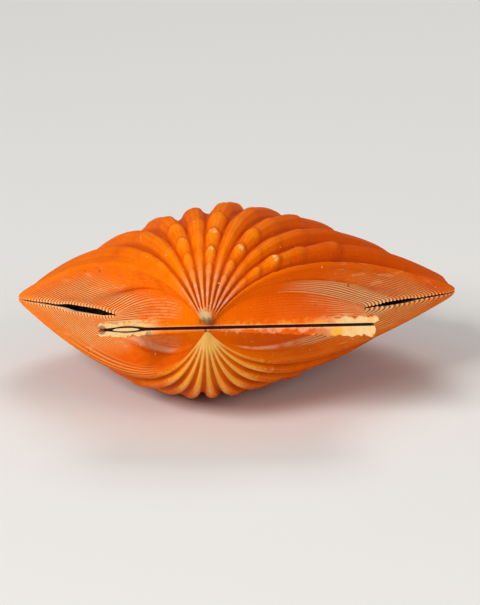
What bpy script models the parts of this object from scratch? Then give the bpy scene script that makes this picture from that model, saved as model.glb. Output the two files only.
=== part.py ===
"""Lion paw scallop shell: two closed valves and the ligament along their hinge.

The valves are modelled closed, about the umbo: the hinge line is the X axis, the
far margin lies along +Y, and the plane in which the valves meet is Z = 0. Each
outer surface is the margin's outline, shrunk and turned about the hinge line
together, which is how a scallop grows. An empty then lays the pair down on its
lower valve. Lengths are in millimetres until the mesh is made.
"""
from dataclasses import dataclass

import bmesh
import bpy
import numpy as np
from mathutils import Matrix, Vector

MM = 0.001

# The outline of the margin, seen square to the plane where the valves meet
HINGE_LEFT = 27.8
HINGE_RIGHT = 42.3
NOTCH_LEFT = (-25.5, 27.0)
NOTCH_RIGHT = (39.0, 31.0)
EAR_BOW = 1.5
FLANK_LEFT_DEG = -41.6
FLANK_RIGHT_DEG = 47.3
DISC_AXIS_DEG = 2.4
DISC_RADIUS = 62.1
DISC_CENTRE = 50.8
CORNER_ROUNDING = 7.0
NOTCH_ROUNDING = 1.5
NOTCH_TO_CORNER = 0.6

# Ribs and knobs; the ribs of one valve stand over the grooves of the other. Rib numbers
# count from the disc's axis, and growth steps are logarithms of the shrinking scale
RIB_PITCH_DEG = 9.25
RIB_DEPTH = 4.05
RIB_ZONE = 4.5
RIB_FADE = 0.75
RIB_SQUARENESS = 0.35
GROOVE_REACH = 0.5
KNOB_SPACING = 0.3
KNOB_COUNT = 6
KNOB_HALF_WIDTH = 0.42
BEAK_SCALE = 0.03
BEAK_BULGE = 0.3
LEAN_SPAN = 60.0

# Wall, edges and the gaps between the pieces
MEETING_GAP = 0.3
HINGE_GAP = 0.8
HINGE_BOW = 0.7
HINGE_BOW_SPAN = (-26.0, -14.5)
EDGE_UMBO = 0.6
EDGE_RIBS = 0.7
EDGE_EAR_LEFT = 1.3
EDGE_EAR_RIGHT = 2.0
EDGE_EAR_REACH = 34.0
HOLLOW_CENTRE = (2.0, 50.0)
HOLLOW_SPREAD = 0.95
HOLLOW_HEIGHT = 0.88
HOLLOW_RIBS = 0.5
HOLLOW_RIB_FADE = 0.15
HOLLOW_END_SCALE = 0.1

# Slits that stay open along the two flanks: width, and how soon they close inwards
GAPE_LEFT = 1.4
GAPE_RIGHT = 0.9
GAPE_REACH = 0.06
GAPE_SKEW = 0.7

# Ligament: a dried strip between the two hinge edges
LIGAMENT_THICKNESS = 0.4
LIGAMENT_FRONT = -0.3
LIGAMENT_BACK = 1.8
LIGAMENT_END_GAP = 0.4

# Attitude of the closed pair when it lies on the lower valve, and the worn flats under it
REST_PITCH_DEG = 7.3
REST_ROLL_DEG = -0.5
FLAT_BAND = 0.5

# Divisions of the meshes
COLUMNS_PER_RIB = 6
FLANK_COLUMNS = 7
EAR_COLUMNS = 5
ROWS_PER_KNOB = 3
BEAK_ROWS = 5
HOLLOW_ROWS = 6
OUTLINE_POINTS = 1200
EDGE_POINTS = 200
DISC_POINTS = 900
NOTCH_MARGIN = 60
SHARP_EDGE_DEG = 50.0
LIGAMENT_STATIONS = 36

# Heights of the knobs on each rib that has them, from the margin to the umbo, as shares
# of the valve's knob height
UPPER_KNOBS = {
    -2: (0.3, 0.25, 0.6, 0.8, 0.9, 0.8),
    0: (0.9, 0.9, 0.6, 0.8, 1.0, 1.0),
    2: (0.3, 0.3, 0.35, 0.8, 1.0, 0.8),
    4: (0.0, 0.1, 0.5, 0.4, 1.0, 0.7),
}
LOWER_KNOBS = {
    -3.5: (0.5, 0.6, 0.6, 0.3, 0.1, 0.0),
    -1.5: (0.8, 1.0, 1.0, 0.4, 0.2, 0.0),
    0.5: (0.8, 1.0, 1.0, 0.4, 0.2, 0.0),
    2.5: (0.5, 0.7, 0.7, 0.3, 0.1, 0.0),
}


@dataclass(frozen=True)
class Valve:
    """One valve: its side, how it grows, how much deeper its grooves are, and its knobs."""

    name: str
    side: int
    growth: float
    lean: float
    groove_depth: float
    knob_height: float
    knobs: dict
    colour: tuple


UPPER = Valve("upper_valve", 1, 1.55, -0.03, 0.8, 3.0, UPPER_KNOBS, (0.85, 0.27, 0.05))
LOWER = Valve("lower_valve", -1, 1.8, 0.04, 2.4, 1.6, LOWER_KNOBS, (0.88, 0.36, 0.08))


def polar(radius, degrees):
    """Return the point at a radius and an angle from +Y, turned towards +X."""
    turn = np.radians(degrees)
    return np.array([radius * np.sin(turn), radius * np.cos(turn)])


def smooth_step(value):
    """Return 0 below 0, 1 above 1, and a smooth rise between."""
    value = np.clip(value, 0.0, 1.0)
    return value * value * (3.0 - 2.0 * value)


def disc_reach(degrees):
    """Return how far the round disc reaches from the umbo at an angle from +Y."""
    along = DISC_CENTRE * np.cos(np.radians(degrees - DISC_AXIS_DEG))
    return along + np.sqrt(along ** 2 - DISC_CENTRE ** 2 + DISC_RADIUS ** 2)


def spaced(points, count):
    """Return count points at equal steps along a line, and the length up to each."""
    steps = np.linalg.norm(np.diff(points, axis=0), axis=1)
    length = np.concatenate([[0.0], np.cumsum(steps)])
    at = np.linspace(0.0, length[-1], count)
    return np.stack([np.interp(at, length, points[:, axis]) for axis in (0, 1)], axis=1), at


def margin_outline():
    """Return the margin from the left hinge end round to the right one.

    The line runs down the left ear to its notch, out along the left flank, round the
    disc, back along the right flank and up the right ear. Its corners are rounded by a
    moving mean that narrows towards the notches and the hinge ends.
    """
    steps = np.linspace(0.0, 1.0, EDGE_POINTS)[:, None]
    left_end = np.array([-HINGE_LEFT, 0.0])
    right_end = np.array([HINGE_RIGHT, 0.0])
    notches = [np.array(NOTCH_LEFT), np.array(NOTCH_RIGHT)]
    bow = np.array([1.0, 0.0]) * EAR_BOW * np.sin(np.pi * steps)
    tips = [polar(disc_reach(angle), angle) for angle in (FLANK_LEFT_DEG, FLANK_RIGHT_DEG)]
    angles = np.linspace(FLANK_LEFT_DEG, FLANK_RIGHT_DEG, DISC_POINTS)
    disc = np.array([polar(disc_reach(angle), angle) for angle in angles])
    runs = [
        left_end + (notches[0] - left_end) * steps + bow,
        notches[0] + (tips[0] - notches[0]) * steps,
        disc,
        tips[1] + (notches[1] - tips[1]) * steps,
        notches[1] + (right_end - notches[1]) * steps - bow,
    ]
    joined = np.vstack([runs[0]] + [run[1:] for run in runs[1:]])
    points, at = spaced(joined, OUTLINE_POINTS)
    step = at[1]
    corners = [int(np.argmin(np.linalg.norm(points - notch, axis=1))) for notch in notches]
    rounded = points.copy()
    for index in range(OUTLINE_POINTS):
        room = [abs(index - corner) * step * NOTCH_TO_CORNER + NOTCH_ROUNDING for corner in corners]
        width = min([CORNER_ROUNDING, at[index], at[-1] - at[index]] + room)
        reach = int(width / step)
        rounded[index] = points[index - reach:index + reach + 1].mean(axis=0)
    return rounded, corners


def margin_columns():
    """Return the columns of the meshes: their margin points and what they carry.

    Each column is a place on the margin. The result holds x, y, the rib number there,
    and how far it is along the left and the right flank, from 0 at the notch to 1 where
    the ribs begin.
    """
    points, corners = margin_outline()
    index = np.arange(OUTLINE_POINTS, dtype=float)
    angle = np.degrees(np.arctan2(points[:, 0], points[:, 1])) - DISC_AXIS_DEG
    rib = angle / RIB_PITCH_DEG
    disc = slice(corners[0] + NOTCH_MARGIN, corners[1] - NOTCH_MARGIN)
    ribbed = np.linspace(-RIB_ZONE, RIB_ZONE, int(2 * RIB_ZONE) * COLUMNS_PER_RIB + 1)
    rib_index = np.interp(ribbed, rib[disc], index[disc])
    stations = np.concatenate([
        np.linspace(0.0, corners[0], EAR_COLUMNS + 1)[:-1],
        np.linspace(corners[0], rib_index[0], FLANK_COLUMNS + 1)[:-1],
        rib_index,
        np.linspace(rib_index[-1], corners[1], FLANK_COLUMNS + 1)[1:],
        np.linspace(corners[1], OUTLINE_POINTS - 1.0, EAR_COLUMNS + 1)[1:],
    ])
    return {
        "x": np.interp(stations, index, points[:, 0]),
        "y": np.interp(stations, index, points[:, 1]),
        "rib": np.interp(stations, index, rib),
        "left": (corners[0] - stations) / (corners[0] - rib_index[0]),
        "right": (stations - corners[1]) / (rib_index[-1] - corners[1]),
    }


def rib_wave(columns):
    """Return the rib profile at each column: 1 on the upper valve's ribs, -1 between."""
    wave = np.cos(2.0 * np.pi * columns["rib"])
    wave = wave * (1.0 + RIB_SQUARENESS * (1.0 - wave * wave))
    return wave * smooth_step((RIB_ZONE - np.abs(columns["rib"])) / RIB_FADE)


def knobs(valve, columns, growth):
    """Return the height of the knobs: rounded swellings at even steps up some ribs."""
    steps = growth / KNOB_SPACING
    along = np.maximum(0.0, np.cos(2.0 * np.pi * (steps - 2.0 / ROWS_PER_KNOB)))
    along = along * (steps < KNOB_COUNT)
    which = np.clip(steps.astype(int), 0, KNOB_COUNT - 1)
    height = np.zeros_like(growth * columns["rib"])
    for rib, shares in valve.knobs.items():
        across = np.maximum(0.0, 1.0 - ((columns["rib"] - rib) / KNOB_HALF_WIDTH) ** 2)
        height = height + np.array(shares)[which] * across
    return valve.knob_height * along * height


def groove(valve, wave, growth):
    """Return how much deeper the outer grooves get away from the margin, as a drop."""
    return -valve.groove_depth * smooth_step(growth / GROOVE_REACH) * np.maximum(0.0, -wave)


def gape(columns):
    """Return how far the valves stand apart along each flank: a lens near the notch."""
    lens = np.zeros_like(columns["x"])
    for key, width in (("left", GAPE_LEFT), ("right", GAPE_RIGHT)):
        along = np.clip(columns[key], 0.0, 1.0) ** GAPE_SKEW
        lens = lens + width * np.clip(np.sin(np.pi * along), 0.0, 1.0)
    return lens


def edge_height(columns, scale):
    """Return the thickness of the edge, which is greatest at the ends of the hinge."""
    ear = smooth_step(1.0 - columns["y"] / EDGE_EAR_REACH)
    tall = np.where(columns["x"] < 0.0, EDGE_EAR_LEFT, EDGE_EAR_RIGHT)
    margin = EDGE_RIBS + (tall - EDGE_RIBS) * ear
    return EDGE_UMBO * (1.0 - scale) + margin * scale


def hinge_half_gap(x):
    """Return half the gap at the hinge line, where the edges bow apart at one place."""
    low, high = HINGE_BOW_SPAN
    along = np.clip((x - low) / (high - low), 0.0, 1.0)
    return HINGE_GAP / 2 + HINGE_BOW * np.sin(np.pi * along) ** 2


def grown(valve, columns, growth, rib_share, knob_share):
    """Return points of a valve's surface on its own side, one row per growth step.

    growth is a column vector of logarithmic steps: 0 at the margin, rising to the beak.
    rib_share scales the margin's own waves, and knob_share what only the outside has.
    """
    scale = np.exp(-growth)
    turn = growth / (valve.growth * (1.0 + valve.lean * columns["x"] / LEAN_SPAN))
    wave = valve.side * rib_wave(columns)
    lift = 0.5 * RIB_DEPTH * wave * rib_share
    lift = lift + knob_share * (knobs(valve, columns, growth) + groove(valve, wave, growth))
    lift = lift + 0.5 * gape(columns) * np.exp(-growth / GAPE_REACH)
    x = scale * columns["x"]
    y = scale * (columns["y"] * np.cos(turn) - lift * np.sin(turn))
    z = scale * (columns["y"] * np.sin(turn) + lift * np.cos(turn))
    return x, y, z


def outer_rows():
    """Return the growth steps of the outer surface: fine over the knobs, then wider."""
    knobbed = np.linspace(0.0, KNOB_COUNT * KNOB_SPACING, KNOB_COUNT * ROWS_PER_KNOB + 1)
    beak = np.linspace(knobbed[-1], -np.log(BEAK_SCALE), BEAK_ROWS + 1)
    return np.concatenate([knobbed, beak[1:]])[:, None]


def outer_surface(valve, columns):
    """Return the outer surface as rows of points, from the margin up to the beak."""
    growth = outer_rows()
    x, y, z = grown(valve, columns, growth, 1.0, 1.0)
    lift = MEETING_GAP / 2 + edge_height(columns, np.exp(-growth))
    lift[:, [0, -1]] += hinge_half_gap(x[:, [0, -1]]) - MEETING_GAP / 2
    return np.stack([x, y, z + lift], axis=2)


def foot_of(valve, columns, outer):
    """Return the lower edge of the rim under the margin row and the hinge columns."""
    x, y, z = grown(valve, columns, np.zeros((1, 1)), 1.0, 0.0)
    margin = np.stack([x, y, z + MEETING_GAP / 2], axis=2)[0]
    sides = []
    for column in (0, -1):
        side = outer[:, column].copy()
        side[:, 2] = hinge_half_gap(side[:, 0])
        sides.append(side)
    margin[0] = sides[0][0]
    margin[-1] = sides[1][0]
    return margin, sides[0], sides[1]


def hollow_surface(valve, columns):
    """Return the inside: the outside, smoother, drawn in towards the opening's middle."""
    growth = np.linspace(0.0, -np.log(HOLLOW_END_SCALE), HOLLOW_ROWS + 1)[:, None]
    share = HOLLOW_RIBS + (1.0 - HOLLOW_RIBS) * np.exp(-growth / HOLLOW_RIB_FADE)
    every_second = {key: value[::2] for key, value in columns.items()}
    x, y, z = grown(valve, every_second, growth, share, 0.0)
    x = HOLLOW_CENTRE[0] + HOLLOW_SPREAD * (x - HOLLOW_CENTRE[0])
    y = HOLLOW_CENTRE[1] + HOLLOW_SPREAD * (y - HOLLOW_CENTRE[1])
    return np.stack([x, y, HOLLOW_HEIGHT * z + MEETING_GAP / 2], axis=2)


class Solid:
    """Vertices and faces of one closed mesh, gathered before it is made."""

    def __init__(self):
        """Start with nothing."""
        self.points = []
        self.faces = []

    def add(self, rows):
        """Add points and return their numbers in the same arrangement."""
        rows = np.asarray(rows, dtype=float)
        first = len(self.points)
        self.points.extend(rows.reshape(-1, 3).tolist())
        return first + np.arange(rows.size // 3).reshape(rows.shape[:-1])

    def quads(self, grid):
        """Fill a grid of point numbers with faces."""
        for above, below in zip(grid[:-1], grid[1:]):
            for k in range(len(above) - 1):
                self.faces.append((above[k], above[k + 1], below[k + 1], below[k]))

    def fan(self, ring, centre):
        """Close a ring of point numbers with triangles about a new centre point."""
        middle = self.add([centre])[0]
        for k in range(len(ring)):
            self.faces.append((ring[k], ring[(k + 1) % len(ring)], middle))

    def zip_lines(self, line, other):
        """Join two lines of point numbers by triangles, keeping step along both."""
        reach_a = self.reach(line)
        reach_b = self.reach(other)
        a = b = 0
        while a < len(line) - 1 or b < len(other) - 1:
            if b == len(other) - 1 or (a < len(line) - 1 and reach_a[a + 1] <= reach_b[b + 1]):
                self.faces.append((line[a], line[a + 1], other[b]))
                a += 1
            else:
                self.faces.append((line[a], other[b + 1], other[b]))
                b += 1

    def reach(self, line):
        """Return how far along a line, seen from above, each of its points is: 0 to 1."""
        flat = np.array([self.points[k][:2] for k in line])
        steps = np.linalg.norm(np.diff(flat, axis=0), axis=1)
        return np.concatenate([[0.0], np.cumsum(steps)]) / steps.sum()

    def make(self, name, colour, roughness, side, rest):
        """Return the closed mesh object, on its side of the meeting plane."""
        points = np.array(self.points)
        points[:, 2] *= side
        mesh = bpy.data.meshes.new(name)
        faces = [tuple(int(number) for number in face) for face in self.faces]
        mesh.from_pydata((points * MM).tolist(), [], faces)
        model = bmesh.new()
        model.from_mesh(mesh)
        bmesh.ops.triangulate(model, faces=model.faces[:])
        bmesh.ops.recalc_face_normals(model, faces=model.faces[:])
        model.to_mesh(mesh)
        model.free()
        mesh.shade_smooth()
        mesh.set_sharp_from_angle(angle=np.radians(SHARP_EDGE_DEG))
        material = bpy.data.materials.new(name)
        material.use_nodes = True
        shader = material.node_tree.nodes["Principled BSDF"]
        shader.inputs["Base Color"].default_value = (*colour, 1.0)
        shader.inputs["Roughness"].default_value = roughness
        mesh.materials.append(material)
        piece = bpy.data.objects.new(name, mesh)
        bpy.context.scene.collection.objects.link(piece)
        piece.parent = rest
        return piece


def make_valve(valve, rest):
    """Build one valve: outside, rim, meeting face and hollow, as one closed mesh."""
    columns = margin_columns()
    solid = Solid()
    outer_points = outer_surface(valve, columns)
    outer = solid.add(outer_points)
    solid.quads(outer)
    last = outer_points[-1]
    turn = -np.log(BEAK_SCALE) / valve.growth
    bulge = BEAK_BULGE * BEAK_SCALE * DISC_RADIUS * np.array([0.0, -np.sin(turn), np.cos(turn)])
    solid.fan(outer[-1], last.mean(axis=0) + bulge)

    margin_points, left_points, right_points = foot_of(valve, columns, outer_points)
    margin = solid.add(margin_points)
    left = np.concatenate([margin[:1], solid.add(left_points[1:])])
    right = np.concatenate([margin[-1:], solid.add(right_points[1:])])
    solid.quads(np.stack([margin, outer[0]]))
    solid.quads(np.stack([outer[:, 0], left]))
    solid.quads(np.stack([right, outer[:, -1]]))
    solid.faces.append((left[-1], right[-1], outer[-1, -1], outer[-1, 0]))

    hollow_points = hollow_surface(valve, columns)
    hollow = solid.add(hollow_points)
    solid.quads(hollow[:, ::-1])
    solid.fan(hollow[-1][::-1], hollow_points[-1].mean(axis=0))
    solid.zip_lines(margin, hollow[0])
    solid.zip_lines(left, hollow[:, 0])
    solid.zip_lines(right, hollow[:, -1])
    solid.faces.append((left[-1], right[-1], hollow[-1, -1], hollow[-1, 0]))
    return solid.make(valve.name, valve.colour, 0.45, valve.side, rest)


def make_ligament(rest):
    """Build the ligament: a thin strip that fills the hinge, thicker where it bows."""
    ends = (-HINGE_LEFT + LIGAMENT_END_GAP, HINGE_RIGHT - LIGAMENT_END_GAP)
    x = np.linspace(ends[0], ends[1], LIGAMENT_STATIONS)
    front = LIGAMENT_THICKNESS / 2 + hinge_half_gap(x) - HINGE_GAP / 2
    back = LIGAMENT_THICKNESS / 4 + (front - LIGAMENT_THICKNESS / 2) / 4
    corners = (
        (LIGAMENT_FRONT, front),
        (LIGAMENT_FRONT, -front),
        (LIGAMENT_BACK, -back),
        (LIGAMENT_BACK, back),
    )
    solid = Solid()
    grid = solid.add([np.stack([x, np.full_like(x, y), z], axis=1) for y, z in corners])
    solid.quads(np.vstack([grid, grid[:1]]))
    solid.faces.append(tuple(grid[:, 0]))
    solid.faces.append(tuple(grid[::-1, -1]))
    return solid.make("hinge_ligament", (0.035, 0.018, 0.012), 0.6, 1, rest)


def world_points(piece, attitude):
    """Return a piece's vertices as the attitude lays them, in metres."""
    turn = np.array(attitude.to_3x3())
    shift = np.array(attitude.translation)
    local = np.array([vertex.co[:] for vertex in piece.data.vertices])
    return local @ turn.T + shift


def lay_down(pieces, rest):
    """Turn the empty so that the pair lies on its lower valve, and flatten the contacts.

    The far margin sinks and the hinge rises until the weight is over the knobs that
    touch. The origin goes under the middle of the bounding box.
    """
    tilt = Matrix.Rotation(-np.radians(REST_PITCH_DEG), 4, "X")
    roll = Matrix.Rotation(np.radians(REST_ROLL_DEG), 4, "Y")
    attitude = tilt @ roll
    cloud = np.vstack([world_points(piece, attitude) for piece in pieces])
    low = cloud.min(axis=0)
    high = cloud.max(axis=0)
    shift = Vector((-(low[0] + high[0]) / 2, -(low[1] + high[1]) / 2, -low[2]))
    rest.matrix_world = Matrix.Translation(shift) @ attitude
    back = rest.matrix_world.inverted()
    for piece in pieces:
        for vertex in piece.data.vertices:
            place = rest.matrix_world @ vertex.co
            if place.z < FLAT_BAND * MM:
                place.z = 0.0
                vertex.co = back @ place


def main():
    """Clear the scene and build the shell."""
    for old in list(bpy.data.objects):
        bpy.data.objects.remove(old, do_unlink=True)
    rest = bpy.data.objects.new("lying_on_lower_valve", None)
    bpy.context.scene.collection.objects.link(rest)
    pieces = [make_valve(UPPER, rest), make_valve(LOWER, rest), make_ligament(rest)]
    lay_down(pieces, rest)


main()
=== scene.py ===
"""Lion paw scallop shell: the dressed model of two closed valves and the ligament in their hinge.

The shell is worked out on its own axes, in millimetres: the hinge line is the X axis, the umbo is
the origin, the far margin lies along +Y and the valves meet at Z = 0. The resting attitude then
turns those places into the frame's, in metres.

Growth is the logarithm of how much smaller the valve was when it made that place: 0 at the margin,
rising to the beak. Place is a number along the margin: 0 to 1 on the left ear, to 2 on the left
flank, to 3 over the ribs, to 4 on the right flank and to 5 on the right ear.
"""
from __future__ import annotations

import logging
import math
from dataclasses import dataclass, field
from enum import Enum
from typing import Any, Mapping, Union

import bmesh
import bpy
import numpy as np
from mathutils import Matrix, Vector


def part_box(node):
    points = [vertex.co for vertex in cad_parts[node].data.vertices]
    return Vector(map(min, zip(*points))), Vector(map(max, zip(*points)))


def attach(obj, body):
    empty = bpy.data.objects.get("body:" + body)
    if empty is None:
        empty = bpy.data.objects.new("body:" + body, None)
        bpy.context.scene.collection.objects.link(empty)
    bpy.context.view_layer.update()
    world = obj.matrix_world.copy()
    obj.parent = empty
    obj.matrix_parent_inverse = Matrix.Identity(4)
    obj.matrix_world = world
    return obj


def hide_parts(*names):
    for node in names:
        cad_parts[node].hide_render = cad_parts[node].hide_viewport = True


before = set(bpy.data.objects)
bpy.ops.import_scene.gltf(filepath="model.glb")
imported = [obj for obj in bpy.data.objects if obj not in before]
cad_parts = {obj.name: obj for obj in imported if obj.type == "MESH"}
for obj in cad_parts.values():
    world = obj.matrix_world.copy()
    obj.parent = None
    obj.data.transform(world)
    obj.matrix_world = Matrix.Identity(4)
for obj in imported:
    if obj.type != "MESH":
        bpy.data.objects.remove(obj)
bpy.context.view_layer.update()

MM = 0.001
IMAGE_SIZE = (480, 605)
report = logging.getLogger("scallop")

Colour = tuple[float, float, float, float]
Value = Union["Wire", float, int]
Span = tuple[float, float]
Spot = tuple[float, float, float]
Oval = tuple[float, float, float, float]
Fact = Union[np.ndarray, float]


class Side(Enum):
    """Which side of the meeting plane a valve is on."""

    UPPER = 1
    LOWER = -1


class Place(Enum):
    """Where the parts of the margin end, as numbers along it."""

    LEFT_END = 0.0
    LEFT_NOTCH = 1.0
    FIRST_RIB = 2.0
    LAST_RIB = 3.0
    RIGHT_NOTCH = 4.0
    RIGHT_END = 5.0


def tone(red: int, green: int, blue: int) -> Colour:
    """Return a colour as the shader wants it.

    Args:
        red: Red as a screen shows it, 0 to 255.
        green: Green in the same way.
        blue: Blue in the same way.

    Returns:
        The colour in linear light, with full alpha.
    """
    channels = [value / 255.0 for value in (red, green, blue)]
    linear = [c / 12.92 if c <= 0.04045 else ((c + 0.055) / 1.055) ** 2.4 for c in channels]
    return (linear[0], linear[1], linear[2], 1.0)


def smooth_step(value: np.ndarray) -> np.ndarray:
    """Return 0 below 0, 1 above 1, and a smooth rise between."""
    value = np.clip(value, 0.0, 1.0)
    return value * value * (3.0 - 2.0 * value)


def ramp(value: np.ndarray, start: float, length: float) -> np.ndarray:
    """Return 0 before the start, 1 a length further on, and a smooth rise between."""
    return smooth_step((value - start) / length)


def bell(value: np.ndarray, middle: float, width: float) -> np.ndarray:
    """Return a rounded hump: 1 at the middle, and nothing at two or three widths from it."""
    return np.exp(-((value - middle) / width) ** 2)


class Wire:
    """A value, colour or vector on its way through a material's nodes."""

    def __init__(self, bench: "Bench", socket: bpy.types.NodeSocket) -> None:
        """Keep the socket and the bench that it is on."""
        self.bench = bench
        self.socket = socket

    def math(self, operation: str, *values: Value) -> "Wire":
        """Return a Math node's result, with this wire as its first value."""
        return self.bench.math(operation, self, *values)

    def __add__(self, other: Value) -> "Wire":
        """Add."""
        return self.math("ADD", other)

    def __radd__(self, other: Value) -> "Wire":
        """Add, with the wire on the right."""
        return self.math("ADD", other)

    def __sub__(self, other: Value) -> "Wire":
        """Subtract."""
        return self.math("SUBTRACT", other)

    def __rsub__(self, other: Value) -> "Wire":
        """Subtract the wire from a number."""
        return self.bench.math("SUBTRACT", other, self)

    def __mul__(self, other: Value) -> "Wire":
        """Multiply."""
        return self.math("MULTIPLY", other)

    def __rmul__(self, other: Value) -> "Wire":
        """Multiply, with the wire on the right."""
        return self.math("MULTIPLY", other)

    def __truediv__(self, other: Value) -> "Wire":
        """Divide."""
        return self.math("DIVIDE", other)

    def __pow__(self, other: Value) -> "Wire":
        """Raise to a power."""
        return self.math("POWER", other)

    def at_least(self, other: Value) -> "Wire":
        """Return the larger of two values."""
        return self.math("MAXIMUM", other)

    def at_most(self, other: Value) -> "Wire":
        """Return the smaller of two values."""
        return self.math("MINIMUM", other)

    def rise(self, low: float, high: float) -> "Wire":
        """Return 0 below low, 1 above high, and a smooth rise between."""
        limits = {"Value": self, "From Min": low, "From Max": high}
        return self.bench.node("ShaderNodeMapRange", {"interpolation_type": "SMOOTHSTEP"}, limits)

    def fall(self, low: float, high: float) -> "Wire":
        """Return 1 below low, 0 above high, and a smooth fall between."""
        return 1.0 - self.rise(low, high)

    def within(self, low: float, high: float, soft: float) -> "Wire":
        """Return 1 between two values and 0 outside them, with edges as wide as soft."""
        return self.rise(low - soft, low + soft) * self.fall(high - soft, high + soft)

    def among(self, spans: tuple[Span, Span], soft: float) -> "Wire":
        """Return 1 inside either of two spans that stand apart, and 0 outside them."""
        (left_low, left_high), (right_low, right_high) = spans
        return self.within(left_low, left_high, soft) + self.within(right_low, right_high, soft)

    def ripple(self) -> "Wire":
        """Return a wave that is 0 at whole numbers and 1 halfway between them."""
        return 0.5 - 0.5 * (self * (2.0 * math.pi)).math("COSINE")


class Bench:
    """One material's nodes: reads what the mesh carries, and adds nodes and links."""

    def __init__(self, name: str) -> None:
        """Make a material with a Principled shader and its output."""
        self.material = bpy.data.materials.new(name)
        self.material.use_nodes = True
        self.tree = self.material.node_tree
        self.shader = self.tree.nodes["Principled BSDF"]

    def feed(self, socket: bpy.types.NodeSocket, value: Any) -> None:
        """Link a wire to a socket, or set the socket to a constant."""
        if isinstance(value, Wire):
            self.tree.links.new(value.socket, socket)
        else:
            socket.default_value = value

    def node(
        self,
        kind: str,
        settings: Mapping[str, Any],
        inputs: Mapping[Union[int, str], Any],
        output: Union[int, str] = 0,
    ) -> Wire:
        """Add a node.

        Args:
            kind: The node's type.
            settings: Its own settings, which are made before its sockets are used.
            inputs: Constants or wires by the socket's name or number.
            output: The output that the result is taken from.

        Returns:
            The wire from that output.
        """
        made = self.tree.nodes.new(kind)
        for name, value in settings.items():
            setattr(made, name, value)
        for name, value in inputs.items():
            self.feed(made.inputs[name], value)
        return Wire(self, made.outputs[output])

    def math(self, operation: str, *values: Value) -> Wire:
        """Return a Math node's result."""
        return self.node("ShaderNodeMath", {"operation": operation}, dict(enumerate(values)))

    def carried(self, name: str, output: str = "Fac") -> Wire:
        """Return a value or a vector that the mesh carries at each point."""
        settings = {"attribute_type": "GEOMETRY", "attribute_name": name}
        return self.node("ShaderNodeAttribute", settings, {}, output)

    def vector(self, x: Value, y: Value, z: Value = 0.0) -> Wire:
        """Return a vector of three values."""
        return self.node("ShaderNodeCombineXYZ", {}, {"X": x, "Y": y, "Z": z})

    def parts(self, vector: Wire) -> tuple[Wire, Wire, Wire]:
        """Return a vector's three values."""
        first = self.node("ShaderNodeSeparateXYZ", {}, {"Vector": vector})
        outputs = first.socket.node.outputs
        return Wire(self, outputs["X"]), Wire(self, outputs["Y"]), Wire(self, outputs["Z"])

    def noise(self, where: Wire, scale: float, detail: float = 3.0) -> Wire:
        """Return smooth noise between 0 and 1 at a place."""
        inputs = {"Vector": where, "Scale": scale, "Detail": detail, "Roughness": 0.55}
        return self.node("ShaderNodeTexNoise", {"noise_dimensions": "3D"}, inputs)

    def blend(self, under: Any, over: Any, share: Value) -> Wire:
        """Return one colour laid over another."""
        inputs = {0: share, 6: under, 7: over}
        return self.node("ShaderNodeMix", {"data_type": "RGBA", "clamp_factor": True}, inputs, 2)

    def layers(self, colour: Any, *layers: tuple[Any, Value]) -> Wire:
        """Return a colour with others laid over it in turn, each with its own share."""
        for over, share in layers:
            colour = self.blend(colour, over, share)
        return colour

    def shaded(self, colour: Any, share: Value) -> Wire:
        """Return a colour made darker, or lighter, by a grey factor."""
        grey = self.vector(share, share, share)
        inputs = {0: 1.0, 6: colour, 7: grey}
        return self.node("ShaderNodeMix", {"data_type": "RGBA", "blend_type": "MULTIPLY"}, inputs, 2)

    def raised(self, height: Value, distance: float, under: Union[Wire, None] = None) -> Wire:
        """Raise a height as a bump.

        Args:
            height: The height, as a share of the distance.
            distance: The distance in metres.
            under: A normal that is bumped already, if there is one.

        Returns:
            The normal that shows it.
        """
        inputs: dict[Union[int, str], Any] = {"Height": height, "Distance": distance}
        if under is not None:
            inputs["Normal"] = under
        return self.node("ShaderNodeBump", {}, inputs)


class ValveBench(Bench):
    """A valve's material, and all that the valve's mesh carries for it."""

    def __init__(self, name: str) -> None:
        """Make the material and read the mesh."""
        super().__init__(name)
        self.growth = self.carried("growth")
        self.place = self.carried("place")
        self.crest = self.carried("crest")
        self.knob = self.carried("knob")
        self.foot = self.carried("foot")
        self.rim = self.carried("rim")
        self.riblet_number = self.carried("riblet")
        self.riblet = self.riblet_number.ripple()
        self.own = self.carried("own", "Vector")
        self.x, self.y, self.z = self.parts(self.own)
        self.clouds = self.noise(self.own, 0.11, 3.0)

    def oval(self, x: float, z: float, half_wide: float, half_high: float) -> Wire:
        """Return 0 at an oval's middle and 1 on its line, as seen square to the hinge."""
        return ((self.x - x) / half_wide) ** 2.0 + ((self.z - z) / half_high) ** 2.0

    def spot(self, at: Spot, firm: float = 0.5) -> Wire:
        """Return the share of a soft round spot, even over the firm part of its area."""
        x, z, radius = at
        return self.oval(x, z, radius, radius).fall(firm, 1.4) * 0.75


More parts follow.
